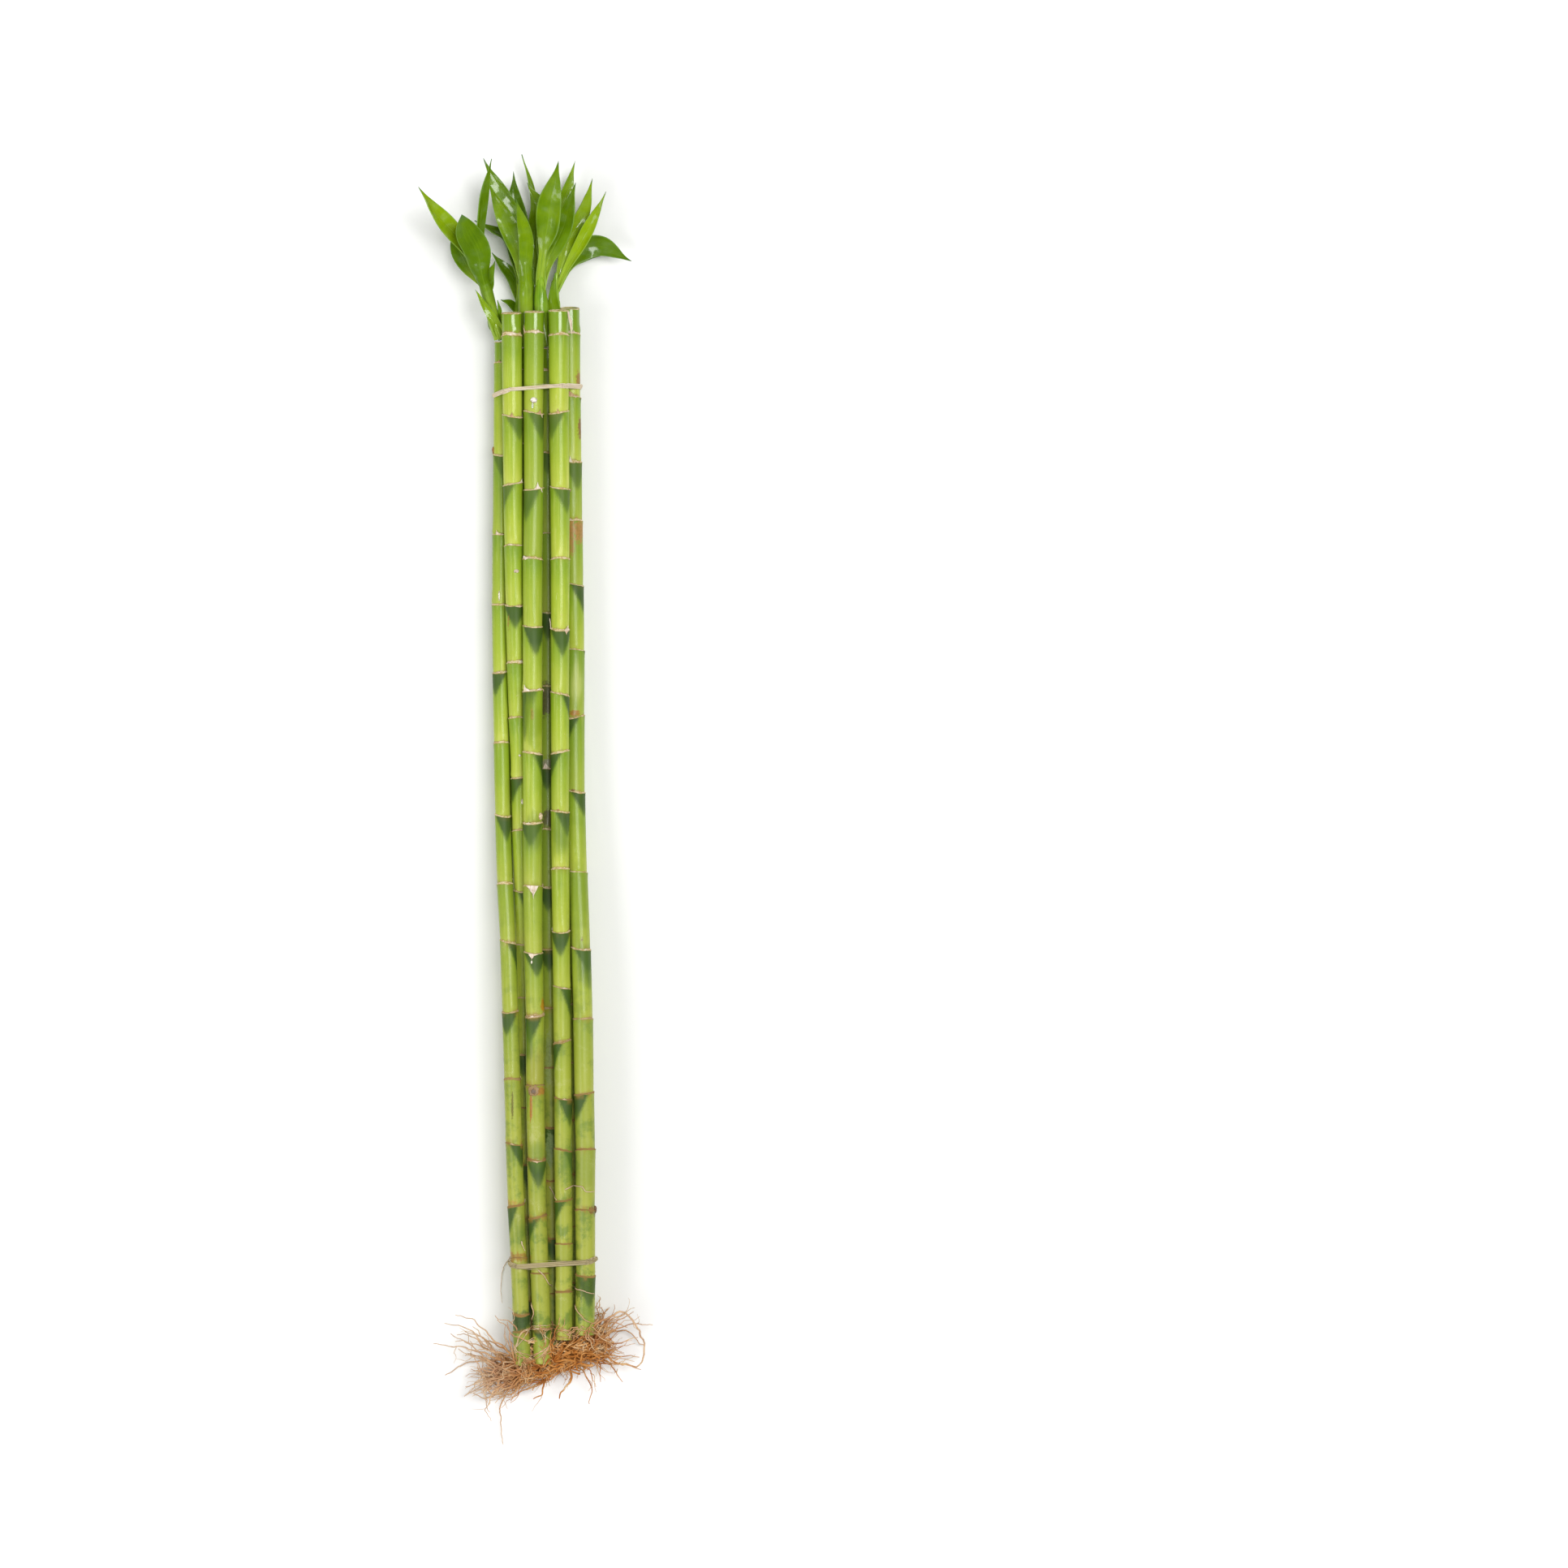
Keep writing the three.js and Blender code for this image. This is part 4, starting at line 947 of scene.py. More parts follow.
SHOOTS = {
    "a": {
        "stem": [
            (-14.4, 183.2, 12.8), (-15.4, 186.6, 13.2), (-17.6, 192.7, 14),
            (-20.2, 202.4, 15.5), (-22.2, 209.5, 17)],
        "radii": [0.9, 1.3, 1.5, 1.9, 1],
        "leaves": [
            leaf(
                4.4, 0.7, 10, (-14.6, 184.6, 14.2), (-17.2, 191, 16.8), (-20.9, 197.6, 17.8),
                (-24.2, 202.9, 18.5),
                outline=SHEATH_OUTLINE),
            leaf(2.6, 0.3, 10, (-15.4, 185.6, 13), (-17.8, 188.6, 12), (-19.7, 192, 12)),
            leaf(
                2.8, 0.3, -30, (-15.4, 187.4, 14), (-14.6, 193.4, 15.5), (-15.5, 198.8, 17),
                outline=SHEATH_OUTLINE),
            leaf(
                10.6, 0.1, 0, (-19.9, 203, 15.8), (-22.2, 211.5, 19), (-25.2, 221, 24), (-28.9,
                231.6, 31),
                front=True, outline=BROAD_OUTLINE),
            leaf(
                7.4, 0.75, 25, (-20.4, 203, 15.5), (-27.6, 218.5, 17),
                (-36, 229.5, 19), (-46.5, 243.2, 24)),
            leaf(
                6.2, 0.05, -20, (-20.4, 204, 15), (-28.2, 213, 12.5),
                (-32, 221, 11), (-30.5, 232.1, 11)),
            leaf(3.6, 0.25, 10, (-19.2, 198, 15.2), (-18.5, 207.3, 16.5), (-16.4, 214.4, 18.5)),
            leaf(
                5.8, 0.2, 50, (-20.8, 205, 16), (-22.4, 221.1, 20),
                (-20.6, 238, 26), (-17.2, 253.8, 29)),
        ],
    },
    "g": {
        "stem": [(-4.7, 180.4, 12.6), (-4.6, 190, 13), (-4.4, 200, 13.4), (-4.3, 208, 13.8)],
        "radii": [2, 2.1, 2.1, 0.9],
        "leaves": [
            leaf(
                8.4, 0.3, 10, (-4.6, 202, 13.2), (-8, 223, 14),
                (-13.6, 239, 15), (-21.1, 255.4, 16)),
            leaf(
                7.6, 0.38, -10, (-4.4, 202, 13.8), (-7, 217, 16),
                (-12.8, 231, 19), (-19, 245.5, 20.5)),
            leaf(
                6, 0.4, 10, (-4.4, 199, 14.6), (-4.2, 212, 18.5), (-4.4, 225, 24), (-7.5, 237.7,
                30),
                front=True, outline=STRAP_OUTLINE),
        ],
    },
    "f": {
        "stem": [(4.3, 180.8, 12.6), (2.5, 190, 13.1), (1.6, 200, 13.6), (1.8, 210, 14)],
        "radii": [2.2, 2.5, 2.6, 0.9],
        "leaves": [
            leaf(
                10.4, 0.4, -5, (1.8, 205, 14.4), (2.4, 220, 18.5), (6.2, 236, 24.5), (9.3, 253, 29),
                outline=SPOON_OUTLINE),
            leaf(
                8, 0.25, -12, (1.9, 202, 14), (5.2, 216, 17),
                (11.6, 231, 19.2), (15.8, 245.2, 20.5)),
            leaf(
                7.5, 0.6, 12, (1.8, 203, 13.8), (3.4, 222, 13.8),
                (6, 236, 13.6), (8.5, 248, 13.4)),
        ],
    },
    "j": {
        "stem": [(8.8, 179.2, 5), (7.4, 190, 8.5), (6.9, 200, 11.8), (7.8, 210, 12.6)],
        "radii": [1.9, 2, 2.1, 0.8],
        "leaves": [
            leaf(
                6.2, 0.75, 15, (7.6, 204, 12.3), (12, 221, 13),
                (18.2, 233.5, 13.8), (22.2, 247.4, 15)),
            leaf(
                5, 0.85, -10, (7.4, 202, 12.6), (13.5, 215.3, 14.6),
                (21.5, 228, 18), (27.8, 241.5, 22)),
            leaf(
                8.4, 0.1, 8, (7.6, 204, 11.8), (14.5, 217.5, 10.8),
                (25, 220.5, 9.8), (37.7, 215.1, 8.8)),
            leaf(
                4.4, 0.3, -10, (7.8, 202, 11.4), (12.5, 213.5, 8),
                (18.5, 216.6, 5), (25, 217.5, 3.5)),
            leaf(
                4.8, 0.35, 0, (6.9, 192, 12.4), (6.8, 201, 15), (7.3, 209.5, 16.2),
                outline=SHEATH_OUTLINE, front=True),
        ],
    },
    "h": {
        "stem": [(-9.1, 176.4, 4.9), (-8.2, 188, 5.4), (-6.8, 200, 6), (-6.6, 210, 6.8)],
        "radii": [1.8, 2, 2, 0.8],
        "leaves": [
            leaf(
                5.2, 0.05, 25, (-6.9, 196, 6), (-9.4, 206.6, 6.7),
                (-13.5, 212.8, 7.8), (-18.1, 218.5, 8.5)),
            leaf(3, 0.1, 30, (-7.6, 192, 5.8), (-10.2, 197.8, 7.4), (-14.5, 199.7, 9)),
            leaf(
                5.5, 0.15, 40, (-6.6, 204, 6.5), (-11, 222.6, 7),
                (-17.6, 227.6, 7.7), (-25, 231.3, 8.5)),
            leaf(8.5, 0.2, 0, (-6.6, 204, 6), (-9, 222, 4.5), (-12.5, 234, 3.6), (-16, 246, 3.5)),
        ],
    },
    "i": {
        "stem": [(-0.2, 178.4, 4.9), (-0.6, 190, 5.3), (-1.2, 203, 6.3), (-1.8, 213, 7.4)],
        "radii": [1.8, 2.1, 2.1, 0.8],
        "leaves": [
            leaf(
                7.4, 0, 0, (-1.6, 206, 7), (-5.2, 221, 8.5),
                (-8.2, 236.5, 9.7), (-9.5, 250.7, 10.5)),
            leaf(4.4, 0.5, 68, (-1.7, 207, 7.2), (-1, 224.4, 7), (-1.7, 241, 6.5), (-6.3, 258, 6)),
            leaf(9, 0.5, -10, (-1.6, 206, 7.2), (0.2, 221, 9), (0.8, 235, 10.4), (-3.9, 246.2, 11)),
            leaf(
                6.8, 0.55, 10, (-1.5, 206, 6.8), (4.6, 224, 6.5),
                (10.4, 239, 6.5), (15, 255.3, 7)),
            leaf(8.5, 0.2, 0, (-1.3, 202, 6), (1.5, 218, 4.2), (4.5, 232, 3.4), (6.5, 246, 3.2)),
        ],
    },
}
LEAF_ROWS, LEAF_COLUMNS = 36, 12
LEAF_THICKNESS, SLEEVE_THICKNESS = 0.4, 0.18
# A clasping leaf: the share of it that is sheath, and how far it stands off the stem.
SHEATH_SHARE, CLASP_GAP = 0.38, 0.55
# The share of a blade over which it unfolds.
UNFOLDS_OVER = 0.32
STEM_SIDES, STEM_ROWS, SLEEVE_ROWS = 18, 24, 10
FINE_STEPS = 240
# Start and end along the stem and the turn in degrees of its two sheaths.
SLEEVES = ((0.02, 0.6, 50), (0.3, 0.9, 150))


def route(path, count):
    """Centres and directions at even steps along a smooth path."""
    points = [Vector(point) for point in path]
    fine = [run(points, step / FINE_STEPS) for step in range(FINE_STEPS + 1)]
    lengths = [0.0]
    for last, here in zip(fine, fine[1:]):
        lengths.append(lengths[-1] + (here - last).length)
    rows, at = [], 0
    for step in range(count + 1):
        target = lengths[-1] * step / count
        while at < FINE_STEPS - 1 and lengths[at + 1] < target:
            at += 1
        span = lengths[at + 1] - lengths[at]
        centre = fine[at].lerp(fine[at + 1], (target - lengths[at]) / span)
        rows.append((centre, (fine[at + 1] - fine[at]).normalized()))
    return rows


def square_to(tangent, turn):
    """The sideways and upward directions of a piece that runs along a tangent."""
    across = tangent.cross(Vector((0, 0, 1))).normalized()
    face = across.cross(tangent).normalized()
    roll = Matrix.Rotation(math.radians(turn), 3, tangent)
    return roll @ across, roll @ face


def blade(spec, shoot, draw):
    """One leaf, folded along its middle. A front one clasps the stem with a sheath at its foot."""
    width, front = spec["width"], spec["front"]
    path, foot = spec["path"], 0
    if front:
        stem = [Vector(point) for point in shoot["stem"]]
        path = [run(stem, 0.05), run(stem, 0.45), *path]
        foot = SHEATH_SHARE
    clasp_radius = run(shoot["radii"], 0.6) + CLASP_GAP
    rows = route(path, LEAF_ROWS)
    wave, beat, lop = draw(0, ANY_TURN), draw(1.2, 2.0), draw(-0.07, 0.07)

    def place(side, row):
        centre, tangent = rows[row]
        sideways, up = square_to(tangent, spec["turn"])
        share = max(row / LEAF_ROWS - foot, 0) / (1 - foot)
        opened = min(share / UNFOLDS_OVER, 1)
        half = width * run(spec["outline"], share) / 2
        half *= 1 + 0.05 * math.sin(3 * wave + 11 * share + side)
        bend = math.radians(80 - 47 * opened - 8 * share)
        if front:
            bend = math.radians(112 - 82 * opened)
            half = clasp_radius * 0.93 * (1 - opened) ** 1.5 + half * (1 - (1 - opened) ** 1.5)
        radius = half / math.sin(bend)
        middle = math.sin(math.pi * share)
        angle = side * bend * (1 + lop * middle)
        dip = radius * (1 - math.cos(bend))
        lift = radius * (1 - math.cos(angle)) - dip / 2
        if front:
            lift = (1 - opened) * (radius - dip / 2) - lift
        flutter = side * side * middle * math.sin(wave + ANY_TURN * beat * share + side)
        swerve = 0.07 * width * middle * math.sin(2 * wave + 7 * share)
        return (centre + sideways * (radius * math.sin(angle) + swerve)
                + up * (lift + 0.095 * width * flutter))

    made = strip(LEAF_COLUMNS, LEAF_ROWS, place)
    thicken(made, LEAF_THICKNESS)
    toned(made, spec["tone"])
    return made


def around_it(centre, tangent, around, radius):
    """A point on the skin of a stem that runs along a tangent."""
    sideways, up = square_to(tangent, 0)
    return centre + (sideways * math.cos(around) + up * math.sin(around)) * radius


def rod(path, radii):
    """A round stem with both ends closed."""
    steps = route(path, STEM_ROWS)

    def place(side, row):
        return around_it(*steps[row], math.pi * side, run(radii, row / STEM_ROWS))

    made = sewn(strip(STEM_SIDES, STEM_ROWS, place))
    bpy.ops.object.mode_set(mode="EDIT")
    bpy.ops.mesh.select_all(action="SELECT")
    bpy.ops.mesh.fill_holes(sides=0)
    bpy.ops.object.mode_set(mode="OBJECT")
    return sewn(made)


def sleeve(path, radii, start, end, facing):
    """The sheath at a leaf's foot: a thin collar round the stem, its rim low on one side."""
    steps = route(path, 100)
    centres = [centre for centre, _ in steps]

    def place(side, row):
        around, up_to = math.pi * side, row / SLEEVE_ROWS
        rim = end - 0.3 * (1 - math.cos(around - math.radians(facing))) / 2
        share = start + (rim - start) * row / SLEEVE_ROWS
        _, tangent = steps[min(round(share * 100), 100)]
        radius = run(radii, share) + 0.1 + 0.12 * up_to ** 3
        return around_it(run(centres, share), tangent, around, radius)

    made = sewn(strip(STEM_SIDES, SLEEVE_ROWS, place))
    thicken(made, SLEEVE_THICKNESS)
    return made


def leaf_skin():
    """A leaf's greens by its tone, with veins along it, a pale foot, rib and rim, a dark tip."""
    made, tree, shader = material("leaf_skin", 0.3, Coat_Roughness=0.1, Specular_IOR_Level=0.1)
    uv, place = wire(tree, "UVMap", {}, uv_map="UVMap"), where(tree)
    across, along, _ = split(uv)
    tone = written(tree, "tone", "Fac")
    veins = clouded(stretched(uv, (46, 1.6, 1)), 1, 2)
    shade = scaled(clouded(place, 160, 3), 0.5, scaled(tone, 0.7, -0.1))
    colour = ramp(shade, [(0.0, "446602"), (0.35, "628402"), (0.65, "82A104"), (1.0, "9CB70C")])
    colour = laid(colour, "3A6403", faded(veins, 0.45, 0.75), 0.25)
    colour = laid(colour, "92B52A", faded(veins, 0.45, 0.25), 0.25)
    colour = laid(colour, "9AB634", faded(along, 0.46, 0.1), 0.85)
    middle = sums("ABSOLUTE", scaled(across, 2.0, -1.0))
    rib = times(faded(middle, 0.1, 0.0), faded(along, 0.95, 0.2))
    colour = laid(colour, "93B63C", rib, 0.3)
    colour = laid(colour, "8AB05A", faded(middle, 0.88, 1.0), 0.35)
    colour = laid(colour, "456B3C", faded(along, 0.93, 1.0), 0.6)
    feed(shader, "Base Color", colour)
    feed(shader, "Roughness", scaled(veins, 0.16, 0.2))
    feed(shader, "Coat Weight", scaled(faded(clouded(place, 210, 2), 0.5, 0.62), 0.6, 0.05))
    lift = scaled(rib, -1.0, times(veins, 0.7))
    bump(shader, scaled(clouded(place, 130, 1), 16.0, lift), 0.14 * MM)
    return made


def shoot_skin():
    """The fresh, shiny green of a shoot's stem and sheaths, with darker fibres, and pale streaks
    along it that are painted highlight lines.
    """
    made, tree, shader = material(
        "shoot_skin", 0.3, Coat_Weight=0.35, Coat_Roughness=0.08, Specular_IOR_Level=0.15)
    streaks, flecks, clouds = placed(GREEN_GRAIN, Place=where(tree))
    colour = ramp(clouds, [(0.3, "6C9412"), (0.5, "82A820"), (0.7, "9ABA34")])
    colour = laid(colour, "55820C", faded(streaks, 0.5, 0.68), 0.5)
    # Pale streaks along the stem: painted highlight lines.
    colour = laid(colour, "BCCF60", faded(streaks, 0.48, 0.3), 0.5)
    feed(shader, "Base Color", colour)
    feed(shader, "Roughness", scaled(streaks, 0.2, 0.2))
    bump(shader, scaled(flecks, 0.3, streaks), 0.12 * MM)
    return made


green_leaf, green_stem = leaf_skin(), shoot_skin()
leaf_draw = Draw(515)
for name, shoot in SHOOTS.items():
    parts = [rod(shoot["stem"], shoot["radii"])]
    parts += [sleeve(shoot["stem"], shoot["radii"], *sheath) for sheath in SLEEVES]
    for part in parts:
        part.data.materials.append(green_stem)
    for spec in shoot["leaves"]:
        made = blade(spec, shoot, leaf_draw)
        made.data.materials.append(green_leaf)
        parts.append(made)
    whole = joined(parts, "leafy_shoot_" + name)
    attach(whole, "root")
    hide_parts("shoot_" + name)


# The roots. Brown and orange, they spring from the cut ends and matted together there while
# the canes stood in water; finer and paler rootlets branch off them.
def root(thick, thin, *path):
    """The thicknesses of a root at its foot and its tip, and its path."""
    return thick, thin, path


# The main strands, as they show.
LONG_ROOTS = [
    root(0.95, 0.35, (-8, -226, 12), (-24, -219.5, 15), (-33, -218, 12), (-40.8, -217.6, 9)),
    root(0.9, 0.35, (-6, -224, 18), (-17, -214, 22), (-24, -207, 24), (-31.5, -204.5, 22)),
    root(0.9, 0.4, (-8, -229, 9), (-20, -224, 5), (-29, -226, 2.2), (-37, -231, 1.2)),
    root(1, 0.45, (-4, -230, 10), (-15, -237, 7), (-21, -239.5, 5), (-26, -238, 4)),
    root(0.8, 0.4, (-5, -228, 7), (-14, -240, 4), (-14.6, -249, 2.4), (-14.2, -258.2, 1.4)),
    root(
        0.85, 0.7, (14, -221, 17), (25, -208, 22), (35, -204, 22), (42.6, -216, 19),
        (39, -226, 15), (23, -220, 12)),
    root(0.9, 0.35, (14, -223, 14), (28, -213, 17), (37, -209, 15), (46.4, -209.5, 12)),
    root(0.9, 0.4, (14, -222, 10), (27, -214, 6), (35, -213, 3.5), (42.5, -219, 2)),
    root(1, 0.4, (14, -223, 12), (25, -223, 9), (30.5, -227.5, 6), (34.3, -233, 4)),
    root(1.1, 0.6, (13, -225, 14), (13.5, -231.5, 12), (9.5, -236, 10), (9, -239, 12)),
    root(0.7, 0.35, (14, -224, 9), (19.5, -231, 6), (21.5, -236, 5), (20.8, -241, 5)),
    root(1, 0.5, (6, -226, 14), (2, -236, 11), (-1, -239.5, 9)),
]
# How many more start in one box and end in another, each box by its two corners.
ROOT_FANS = [
    (14, ((-12, -231, 6), (-4, -222, 20)), ((-36, -236, 1.5), (-20, -206, 28))),
    (14, ((11, -222, 6), (17, -217, 20)), ((27, -230, 1.5), (42, -200, 28))),
    (13, ((4, -224, 17), (17, -217, 22)), ((-30, -241, 3), (-10, -232, 24))),
    (8, ((2, -225, 5), (16, -218, 9)), ((-28, -240, 1.5), (-8, -230, 6))),
    (7, ((-8, -228, 19), (16, -218, 21)), ((-18, -211, 26), (26, -203, 30))),
]
FINE_ROOT = 0.3
ROOT_FLOOR, HAIR_FLOOR = 1.05, 0.4
# The mat's two ends, its half height along and off the table, and how many roots it has.
MAT_ENDS = Vector((-15, -228.5, 13)), Vector((21, -218, 13))
MAT_HALF = 5, 10.5
MAT_ROOTS = 290
# Loose clusters: side, foot, how many, and the lowest and highest heading in degrees.
CLUSTERS = ((1, (18, -218, 13), 64, (-30, 55)), (-1, (-13, -230, 11), 26, (-44, 22)))
ARC_COPIES = 3
CUT_EDGE_ROOTS = 36
THREAD_STEPS = 18


def strands(name, lines, sides):
    """Round threads of changing thickness, drawn as curves and turned into one mesh."""
    curve = bpy.data.curves.new(name, "CURVE")
    curve.dimensions = "3D"
    curve.bevel_depth = MM
    curve.bevel_resolution = sides
    curve.use_fill_caps = True
    for line in lines:
        spline = curve.splines.new("POLY")
        spline.points.add(len(line) - 1)
        for point, (place, radius) in zip(spline.points, line):
            point.co = (*(place * MM), 1)
            point.radius = radius
    made = bpy.data.objects.new(name, curve)
    bpy.context.collection.objects.link(made)
    bpy.ops.object.select_all(action="DESELECT")
    made.select_set(True)
    bpy.context.view_layer.objects.active = made
    bpy.ops.object.convert(target="MESH")
    bpy.ops.object.shade_smooth()
    return bpy.context.object


def thread(path, thick, thin, count, wobble, draw):
    """A root along a path, wandering a little, thinner towards its tip."""
    line = []
    phase = Vector([draw(0, 90) for _ in range(3)])
    for step, (centre, _) in enumerate(route(path, count)):
        share = step / count
        stray = noise.noise_vector(phase + centre * 0.22)
        stray += noise.noise_vector(phase + centre * 0.55) * 0.35
        here = centre + stray * wobble * min(share * 4, 1)
        radius = thick + (thin - thick) * share
        here.z = max(here.z, radius)
        line.append((here, radius))
    return line


def picked(box, draw):
    """A point drawn inside a box."""
    return Vector([draw(low, high) for low, high in zip(*box)])


def at_random(draw, across, along, up, lowest_up=None):
    """A draw within so much to either side in each direction."""
    x, y = draw(-across, across), draw(-along, along)
    return Vector((x, y, draw(-up if lowest_up is None else lowest_up, up)))


def kept_off(path, floor):
    """Lifts the points of a path that are too near the table."""
    for point in path:
        point.z = max(point.z, floor)
    return path


root_draw = Draw(4711)
main_roots = [(path, thick * 0.52, thin * 0.4, 8 * len(path)) for thick, thin, path in LONG_ROOTS]
for count, start_box, tip_box in ROOT_FANS:
    for _ in range(count):
        start, tip = picked(start_box, root_draw), picked(tip_box, root_draw)
        path = [start]
        for share, bow in ((0.35, 3), (0.7, 3.5)):
            path.append(Vector([
                a + (b - a) * share + root_draw(-bow, bow) for a, b in zip(start, tip)]))
        path = kept_off([*path, tip], ROOT_FLOOR)
        main_roots.append((path, FINE_ROOT + 0.14, FINE_ROOT - 0.16, 20))
stray_draw = Draw(88)
lines = [thread(*strand, 1.1, stray_draw) for strand in main_roots]
for path, thick, thin, count in main_roots[len(LONG_ROOTS):]:
    for _ in range(0 if path[-1].x < -12 and path[-1].y > -222 else 2):
        shift = at_random(stray_draw, 2.2, 2.2, 1.8)
        beside = [point + shift * (0.3 + 0.35 * at) for at, point in enumerate(path)]
        beside = beside[:3 if stray_draw() < 0.4 else 4]
        lines.append(thread(beside, 0.32, 0.1, THREAD_STEPS, 1.5, stray_draw))

# The mat: roots that cross the cut ends, mostly from the upper right to the lower left, and
# looser ones that curl out of it at both sides.
for at in range(MAT_ROOTS):
    share = stray_draw() ** 0.8
    middle = MAT_ENDS[0].lerp(MAT_ENDS[1], share)
    bulge = math.sin(math.pi * (0.12 + 0.76 * share))
    around, out = stray_draw(0, ANY_TURN), stray_draw(0.5, 1.08)
    aside = Vector((0, MAT_HALF[0] * math.cos(around), MAT_HALF[1] * math.sin(around)))
    middle += aside * out * bulge
    run_out = Vector((stray_draw(3.5, 12), stray_draw(-2.5, 7.5), stray_draw(-2.5, 2.5)))
    bow = at_random(stray_draw, 2.5, 2.5, 1.5)
    path = [middle + run_out, middle + bow, middle - run_out * stray_draw(0.7, 1.2)]
    path = kept_off(path, ROOT_FLOOR)
    thick, thin = stray_draw(0.26, 0.54), stray_draw(0.12, 0.24)
    strand = thread(path, thick, thin, THREAD_STEPS, 2.8, stray_draw)
    if share > 0.4 or at % 5 > 1:
        lines.append(strand)
for side, foot, count, headings in CLUSTERS:
    for _ in range(count):
        here = Vector(foot)
        here += Vector((stray_draw(-5, 3) * side, stray_draw(-5, 5), stray_draw(-8, 9)))
        heading = math.radians(stray_draw(*headings))
        length, curl = stray_draw(7, 19), stray_draw(-2, 1.4)
        path = [here]
        for _ in range(4):
            ahead = (side * math.cos(heading), math.sin(heading), stray_draw(-0.35, 0.2))
            here = here + Vector(ahead) * length / 4
            heading += curl * side * 0.5
            path.append(Vector((here.x, here.y, max(here.z, ROOT_FLOOR))))
        lines.append(thread(path, stray_draw(0.24, 0.42), 0.1, THREAD_STEPS, 2.2, stray_draw))
mat = strands("root_mat", lines, 1)


def top_of_canes(x, along):
    """How high the canes stand off the table at one place, or next to nothing beside them."""
    tops = [0.3]
    for cane in CANES.values():
        if along > cane["ends"][1]:
            middle, z, r = spot_on(cane, along)
            if abs(x - middle) < r * 1.03:
                tops.append(z + math.sqrt((r * 1.03) ** 2 - (x - middle) ** 2))
    return max(tops)


def draped(points, thick, thin, count, draw):
    """A rootlet that lies over the canes along a path given in the photograph's plane."""
    line, last = [], None
    for step, (centre, _) in enumerate(route([(x, y, 0) for x, y in points], count)):
        here = centre + noise.noise_vector(centre * 0.5 + Vector((draw(0, 0.5), 0, 0))) * 0.4
        here.z = top_of_canes(here.x, here.y) + 0.25
        if last is not None:
            here.z = max(here.z, last - 3.5)
        last = here.z
        line.append((here, thick + (thin - thick) * step / count))
    return line


# Rootlets: hairs that branch off the roots, and pale ones that lie over the canes' lower ends.
LOWEST_HAIR = -245
fine_lines = []
for line in lines:
    for _ in range(1 if stray_draw() < 0.8 else 2):
        at = int(stray_draw(0.25, 0.85) * (len(line) - 1))
        start, radius = line[at]
        ahead = (line[min(at + 1, len(line) - 1)][0] - line[at - 1][0]).normalized()
        swing = at_random(stray_draw, 1, 1, 0.4, -0.6)
        heading = (ahead + swing).normalized() * stray_draw(3, 9)
        bend = at_random(stray_draw, 1, 1, 0.5, -1)
        path = [start, start + heading * 0.5 + bend, start + heading + bend * 0.3]
        path = kept_off(path, HAIR_FLOOR)
        hair = thread(path, min(radius, 0.17), 0.06, 10, 1.8, stray_draw)
        if min(point.y for point, _ in hair) > LOWEST_HAIR:
            fine_lines.append(hair)
# Places over the canes, in millimetres across and along, read off the photograph.
DRAPES = [
    [(11.8, -154.4), (15.3, -153.4), (18.5, -153.4), (20.2, -155.3), (23.4, -155.3)],
    [(1.1, -186.3), (3.5, -189), (6.3, -194)],
    [(-2, -200), (-1.1, -203.8), (-2.2, -209.3)],
    [(6.3, -207.4), (6.8, -213), (9, -215.7)],
    [(14.7, -193.7), (18.5, -194.8), (23.4, -196)],
    [(15.3, -200.5), (17.9, -204.7), (20.2, -206.6), (24, -208)],
    [(-5.6, -175), (-5, -177), (-4.4, -178.9)],
    [(5.3, -153.7), (6.6, -156.3), (8.2, -158.9)],
    [(-11.1, -183.1), (-14, -187.9), (-14.8, -195), (-14.5, -201.8)],
]
# Roots that arch across the lower ends, in the same way; each is drawn three times, apart.
ARCS = [
    [
        (-8.9, -217), (-5.7, -212.5), (-1.1, -209.6), (4.4, -209), (10, -210), (15, -212.5),
        (17.3, -216)],
    [(-4.8, -224), (0.8, -219), (6.3, -216.7), (10.9, -217.6), (14.6, -220)],
    [(6.3, -224), (9, -218.5), (13.7, -215.7), (19.2, -214.4), (24.7, -214)],
    [(-10.5, -214), (-7, -219), (-3, -222), (0, -226)],
    [(3, -222), (6, -215), (8.5, -212), (12, -211.5), (16, -214)],
    [(12, -217), (16, -211), (20, -209.5), (25, -212)],
]
for path in DRAPES:
    beside = path[0][0] < -10
    thick, thin = (0.15, 0.08) if beside else (0.26, 0.14)
    fine_lines.append(draped(path, thick, thin, 16, stray_draw))
for path in ARCS:
    for _ in range(ARC_COPIES):
        shift = [(x + stray_draw(-1.4, 1.4), y + stray_draw(-1.8, 1.2)) for x, y in path]
        fine_lines.append(draped(shift, stray_draw(0.14, 0.26), 0.1, 22, stray_draw))
for _ in range(CUT_EDGE_ROOTS):
    cane = CANES["abcdeace"[int(stray_draw(0, 7.99))]]
    end = cane["ends"][1]
    x, z, r = spot_on(cane, end + 3)
    turn = stray_draw(0.2, 2.94)
    right, up = math.cos(turn), math.sin(turn)
    start = Vector((x + r * right, end + stray_draw(0.2, 3.5), z + r * up))
    out = Vector((right * stray_draw(2, 4), -stray_draw(0, 2), up * stray_draw(0.6, 1.6)))
    fall = Vector((right * stray_draw(2, 11), -stray_draw(3, 11), -stray_draw(1, 6)))
    path = [start, start + out, start + out * 0.8 + fall * 0.6, start + fall]
    fine_lines.append(thread(path, 0.26, 0.1, 16, 2.0, stray_draw))
rootlets = strands("rootlets", fine_lines, 0)


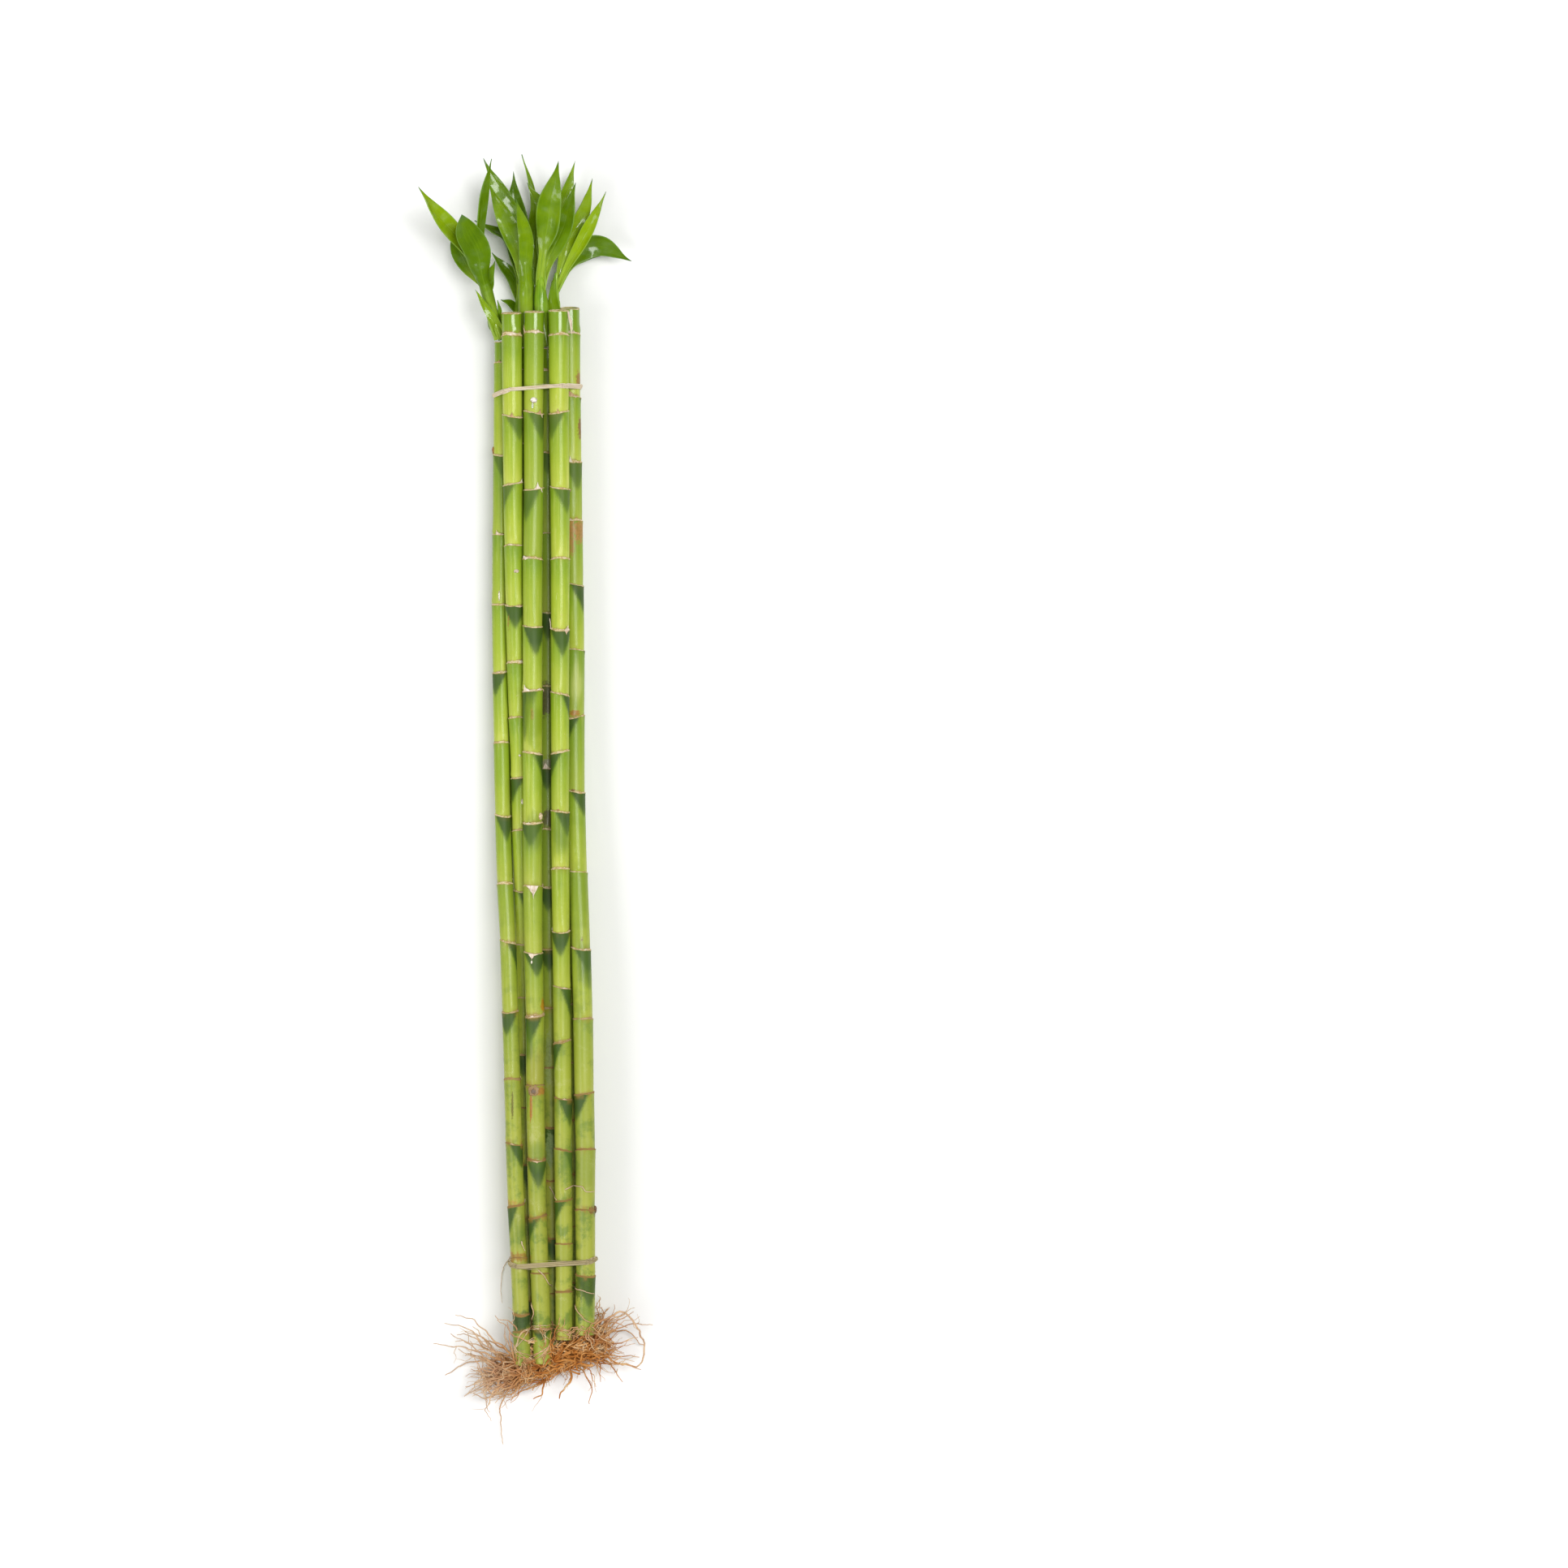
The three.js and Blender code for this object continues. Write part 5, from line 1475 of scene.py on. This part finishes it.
def bark_grain():
    """Soft patches and fine cross lines of a root, for thick and thin ones."""
    group, given, put_out = grain_group("bark_grain", ["Place"], ["Patches", "Lines"])
    for name, scale, detail in (("Patches", 150, 4), ("Lines", 1500, 3)):
        group.links.new(clouded(given["Place"], scale, detail, 0.65), put_out[name])
    return group


BARK_GRAIN = bark_grain()
# The middle of the mat, away from which the bark is paler.
HEART = [11 * MM, -224 * MM, 10 * MM]


def bark(name, stops, dark):
    """Dry brown bark, in patches of its own colours and with darker rings."""
    made, tree, shader = material(name, 0.72, Specular_IOR_Level=0.2)
    place = where(tree)
    patches, rings = placed(BARK_GRAIN, Place=place)
    away = wire(tree, "VectorMath", {0: place, 1: HEART}, out="Value", operation="DISTANCE")
    colour = laid(ramp(patches, stops), "DCCAB0", faded(away, 0.014, 0.042), 0.62)
    colour = laid(colour, dark, faded(rings, 0.5, 0.7), 0.5)
    feed(shader, "Base Color", colour)
    feed(shader, "Roughness", scaled(rings, 0.2, 0.6))
    bump(shader, rings, 0.15 * MM)
    return made


root_bark = [(0.34, "9C581E"), (0.46, "BA7834"), (0.56, "CE9656"), (0.66, "E2C294")]
rootlet_bark = [(0.34, "B07C44"), (0.5, "CCA272"), (0.64, "E2CDA8")]
mat.data.materials.append(bark("root_bark", root_bark, "8C5022"))
rootlets.data.materials.append(bark("rootlet_bark", rootlet_bark, "A8703A"))
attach(mat, "root")
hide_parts("root_tangle")
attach(rootlets, "root")


# The ties. The upper one is a flat strip of pale raffia, the lower one a loose grey-brown
# twine. Each is drawn tight round all ten canes.
RING_SWELL = 1.04
STRIP_THICKNESS = 0.3
# Each tie: its name, where it goes round the canes, its front from the left end to the right at
# even steps, its strips (off the canes, width, shift, unevenness), how many loose fibres it has,
# and its colours.
TIE_STEPS, TIE_SPAN = 160, 35
RAFFIA = {
    "name": "raffia", "along": 162, "left": -17, "line": [161, 163, 163.8, 164.2, 164.6],
    "strips": ((0.1, 1.6, 0, 0.12), (0.4, 0.9, 0.25, 0.2)), "fibres": 34,
    "stops": [(0.3, "CDB58F"), (0.5, "E4D4B8"), (0.7, "F4ECDD")], "dark": "D6C19F",
}
TWINE = {
    "name": "twine", "along": -184, "left": -11, "line": [-184, -186.6, -186.4, -184.6, -182.3],
    "strips": ((0.1, 2.0, 0, 0.12), (0.5, 1.1, -0.1, 0.25)), "fibres": 60,
    "stops": [(0.3, "8E7C54"), (0.5, "B2A278"), (0.7, "CFC29C")], "dark": "9C8C5C",
}


def round_canes(along, off):
    """The outline of a band drawn tight round the canes, seen along the bundle."""
    circles = [cane_at(cane, along) for cane in CANES.values()]
    outline = []
    for step in range(TIE_STEPS):
        angle = (step + 0.5) / TIE_STEPS * 2 * math.pi
        right, up = math.cos(angle), math.sin(angle)
        x, z, r = max(circles, key=lambda c: c[0] * right + c[1] * up + c[2] * RING_SWELL)
        radius = r * RING_SWELL + off
        outline.append(Vector((x + radius * right, along, z + radius * up)))
    return outline


def front(tie, x):
    """Where along the bundle a tie runs, at one place across."""
    return run(tie["line"], (x - tie["left"]) / TIE_SPAN)


def band(tie, off, width, shift, ripple, draw):
    """A closed ribbon round the canes, its edges a little uneven."""
    outline = round_canes(tie["along"], off)
    phase, lean = draw(0, ANY_TURN), draw(0, ANY_TURN)

    def place(side, row):
        at = row % TIE_STEPS
        here = outline[at].copy()
        out = Vector((here.x - outline[at - 2].x, 0, here.z - outline[at - 2].z))
        turn = 2 * math.pi * at / TIE_STEPS
        uneven = ripple * math.sin(3 * turn + phase) + 0.5 * ripple * math.sin(11 * turn + lean)
        half = width / 2 * (1 + uneven)
        here.y = front(tie, here.x) + shift + side * half + 0.12 * math.sin(5 * turn + phase)
        here += Vector((out.z, 0, -out.x)).normalized() * 0.16 * math.sin(9 * side + 4 * turn)
        here.z = max(here.z, STRIP_THICKNESS / 2)
        return here

    made = sewn(strip(10, TIE_STEPS, place))
    thicken(made, STRIP_THICKNESS)
    return made


def fuzz(tie, draw):
    """Loose fibre ends that stand off a tie, where it runs over or under the canes."""
    outline = round_canes(tie["along"], 0.7)
    hairs = []
    for _ in range(tie["fibres"]):
        at = int(draw(0, TIE_STEPS - 0.1))
        while abs(outline[at].z - outline[at - 1].z) > abs(outline[at].x - outline[at - 1].x):
            at = int(draw(0, TIE_STEPS - 0.1))
        start = outline[at].copy()
        start.y = front(tie, start.x) + draw(-0.7, 0.7)
        start.z = max(start.z, 0.5)
        ahead = outline[(at + (5 if draw() < 0.5 else -5)) % TIE_STEPS] - outline[at]
        tip = start + Vector((ahead.x, 0, ahead.z)) * draw(0.3, 0.9)
        tip += Vector((0, draw(-0.9, 0.9), 0))
        tip.z = max(tip.z + draw(-0.1, 0.4), 0.3)
        middle = (start + tip) / 2 + Vector((0, draw(-0.4, 0.4), draw(0, 0.4)))
        hairs.append([(start, 0.09), (middle, 0.07), (tip, 0.03)])
    return strands("fuzz", hairs, 0)


def tie_grain():
    """Threads along a tie and soft patches on it, for the raffia and the twine."""
    group, given, put_out = grain_group("tie_grain", ["Place", "Along"], ["Threads", "Patches"])
    threads = clouded(stretched(given["Along"], (16, 30, 1)), 1, 4, 0.6)
    group.links.new(threads, put_out["Threads"])
    group.links.new(clouded(given["Place"], 240, 2, 0.6), put_out["Patches"])
    return group


TIE_GRAIN = tie_grain()


def fibre(name, stops, dark):
    """Dry plant fibre, with threads along it and darker patches."""
    made, tree, shader = material(name, 0.8)
    length = wire(tree, "UVMap", {}, uv_map="UVMap")
    threads, patches = placed(TIE_GRAIN, Place=where(tree), Along=length)
    colour = laid(ramp(threads, stops), dark, faded(patches, 0.5, 0.7), 0.5)
    feed(shader, "Base Color", colour)
    bump(shader, threads, 0.25 * MM)
    return made


def tied(tie, draw):
    """One whole tie: its strips and its loose fibres."""
    parts = [band(tie, *strip_of, draw) for strip_of in tie["strips"]]
    whole = joined([*parts, fuzz(tie, draw)], tie["name"] + "_tie")
    whole.data.materials.append(fibre(tie["name"], tie["stops"], tie["dark"]))
    return whole


tie_draw = Draw(31)
upper_tie = tied(RAFFIA, tie_draw)
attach(upper_tie, "root")
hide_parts("tie_upper")
lower_tie = tied(TWINE, tie_draw)
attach(lower_tie, "root")
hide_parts("tie_lower")
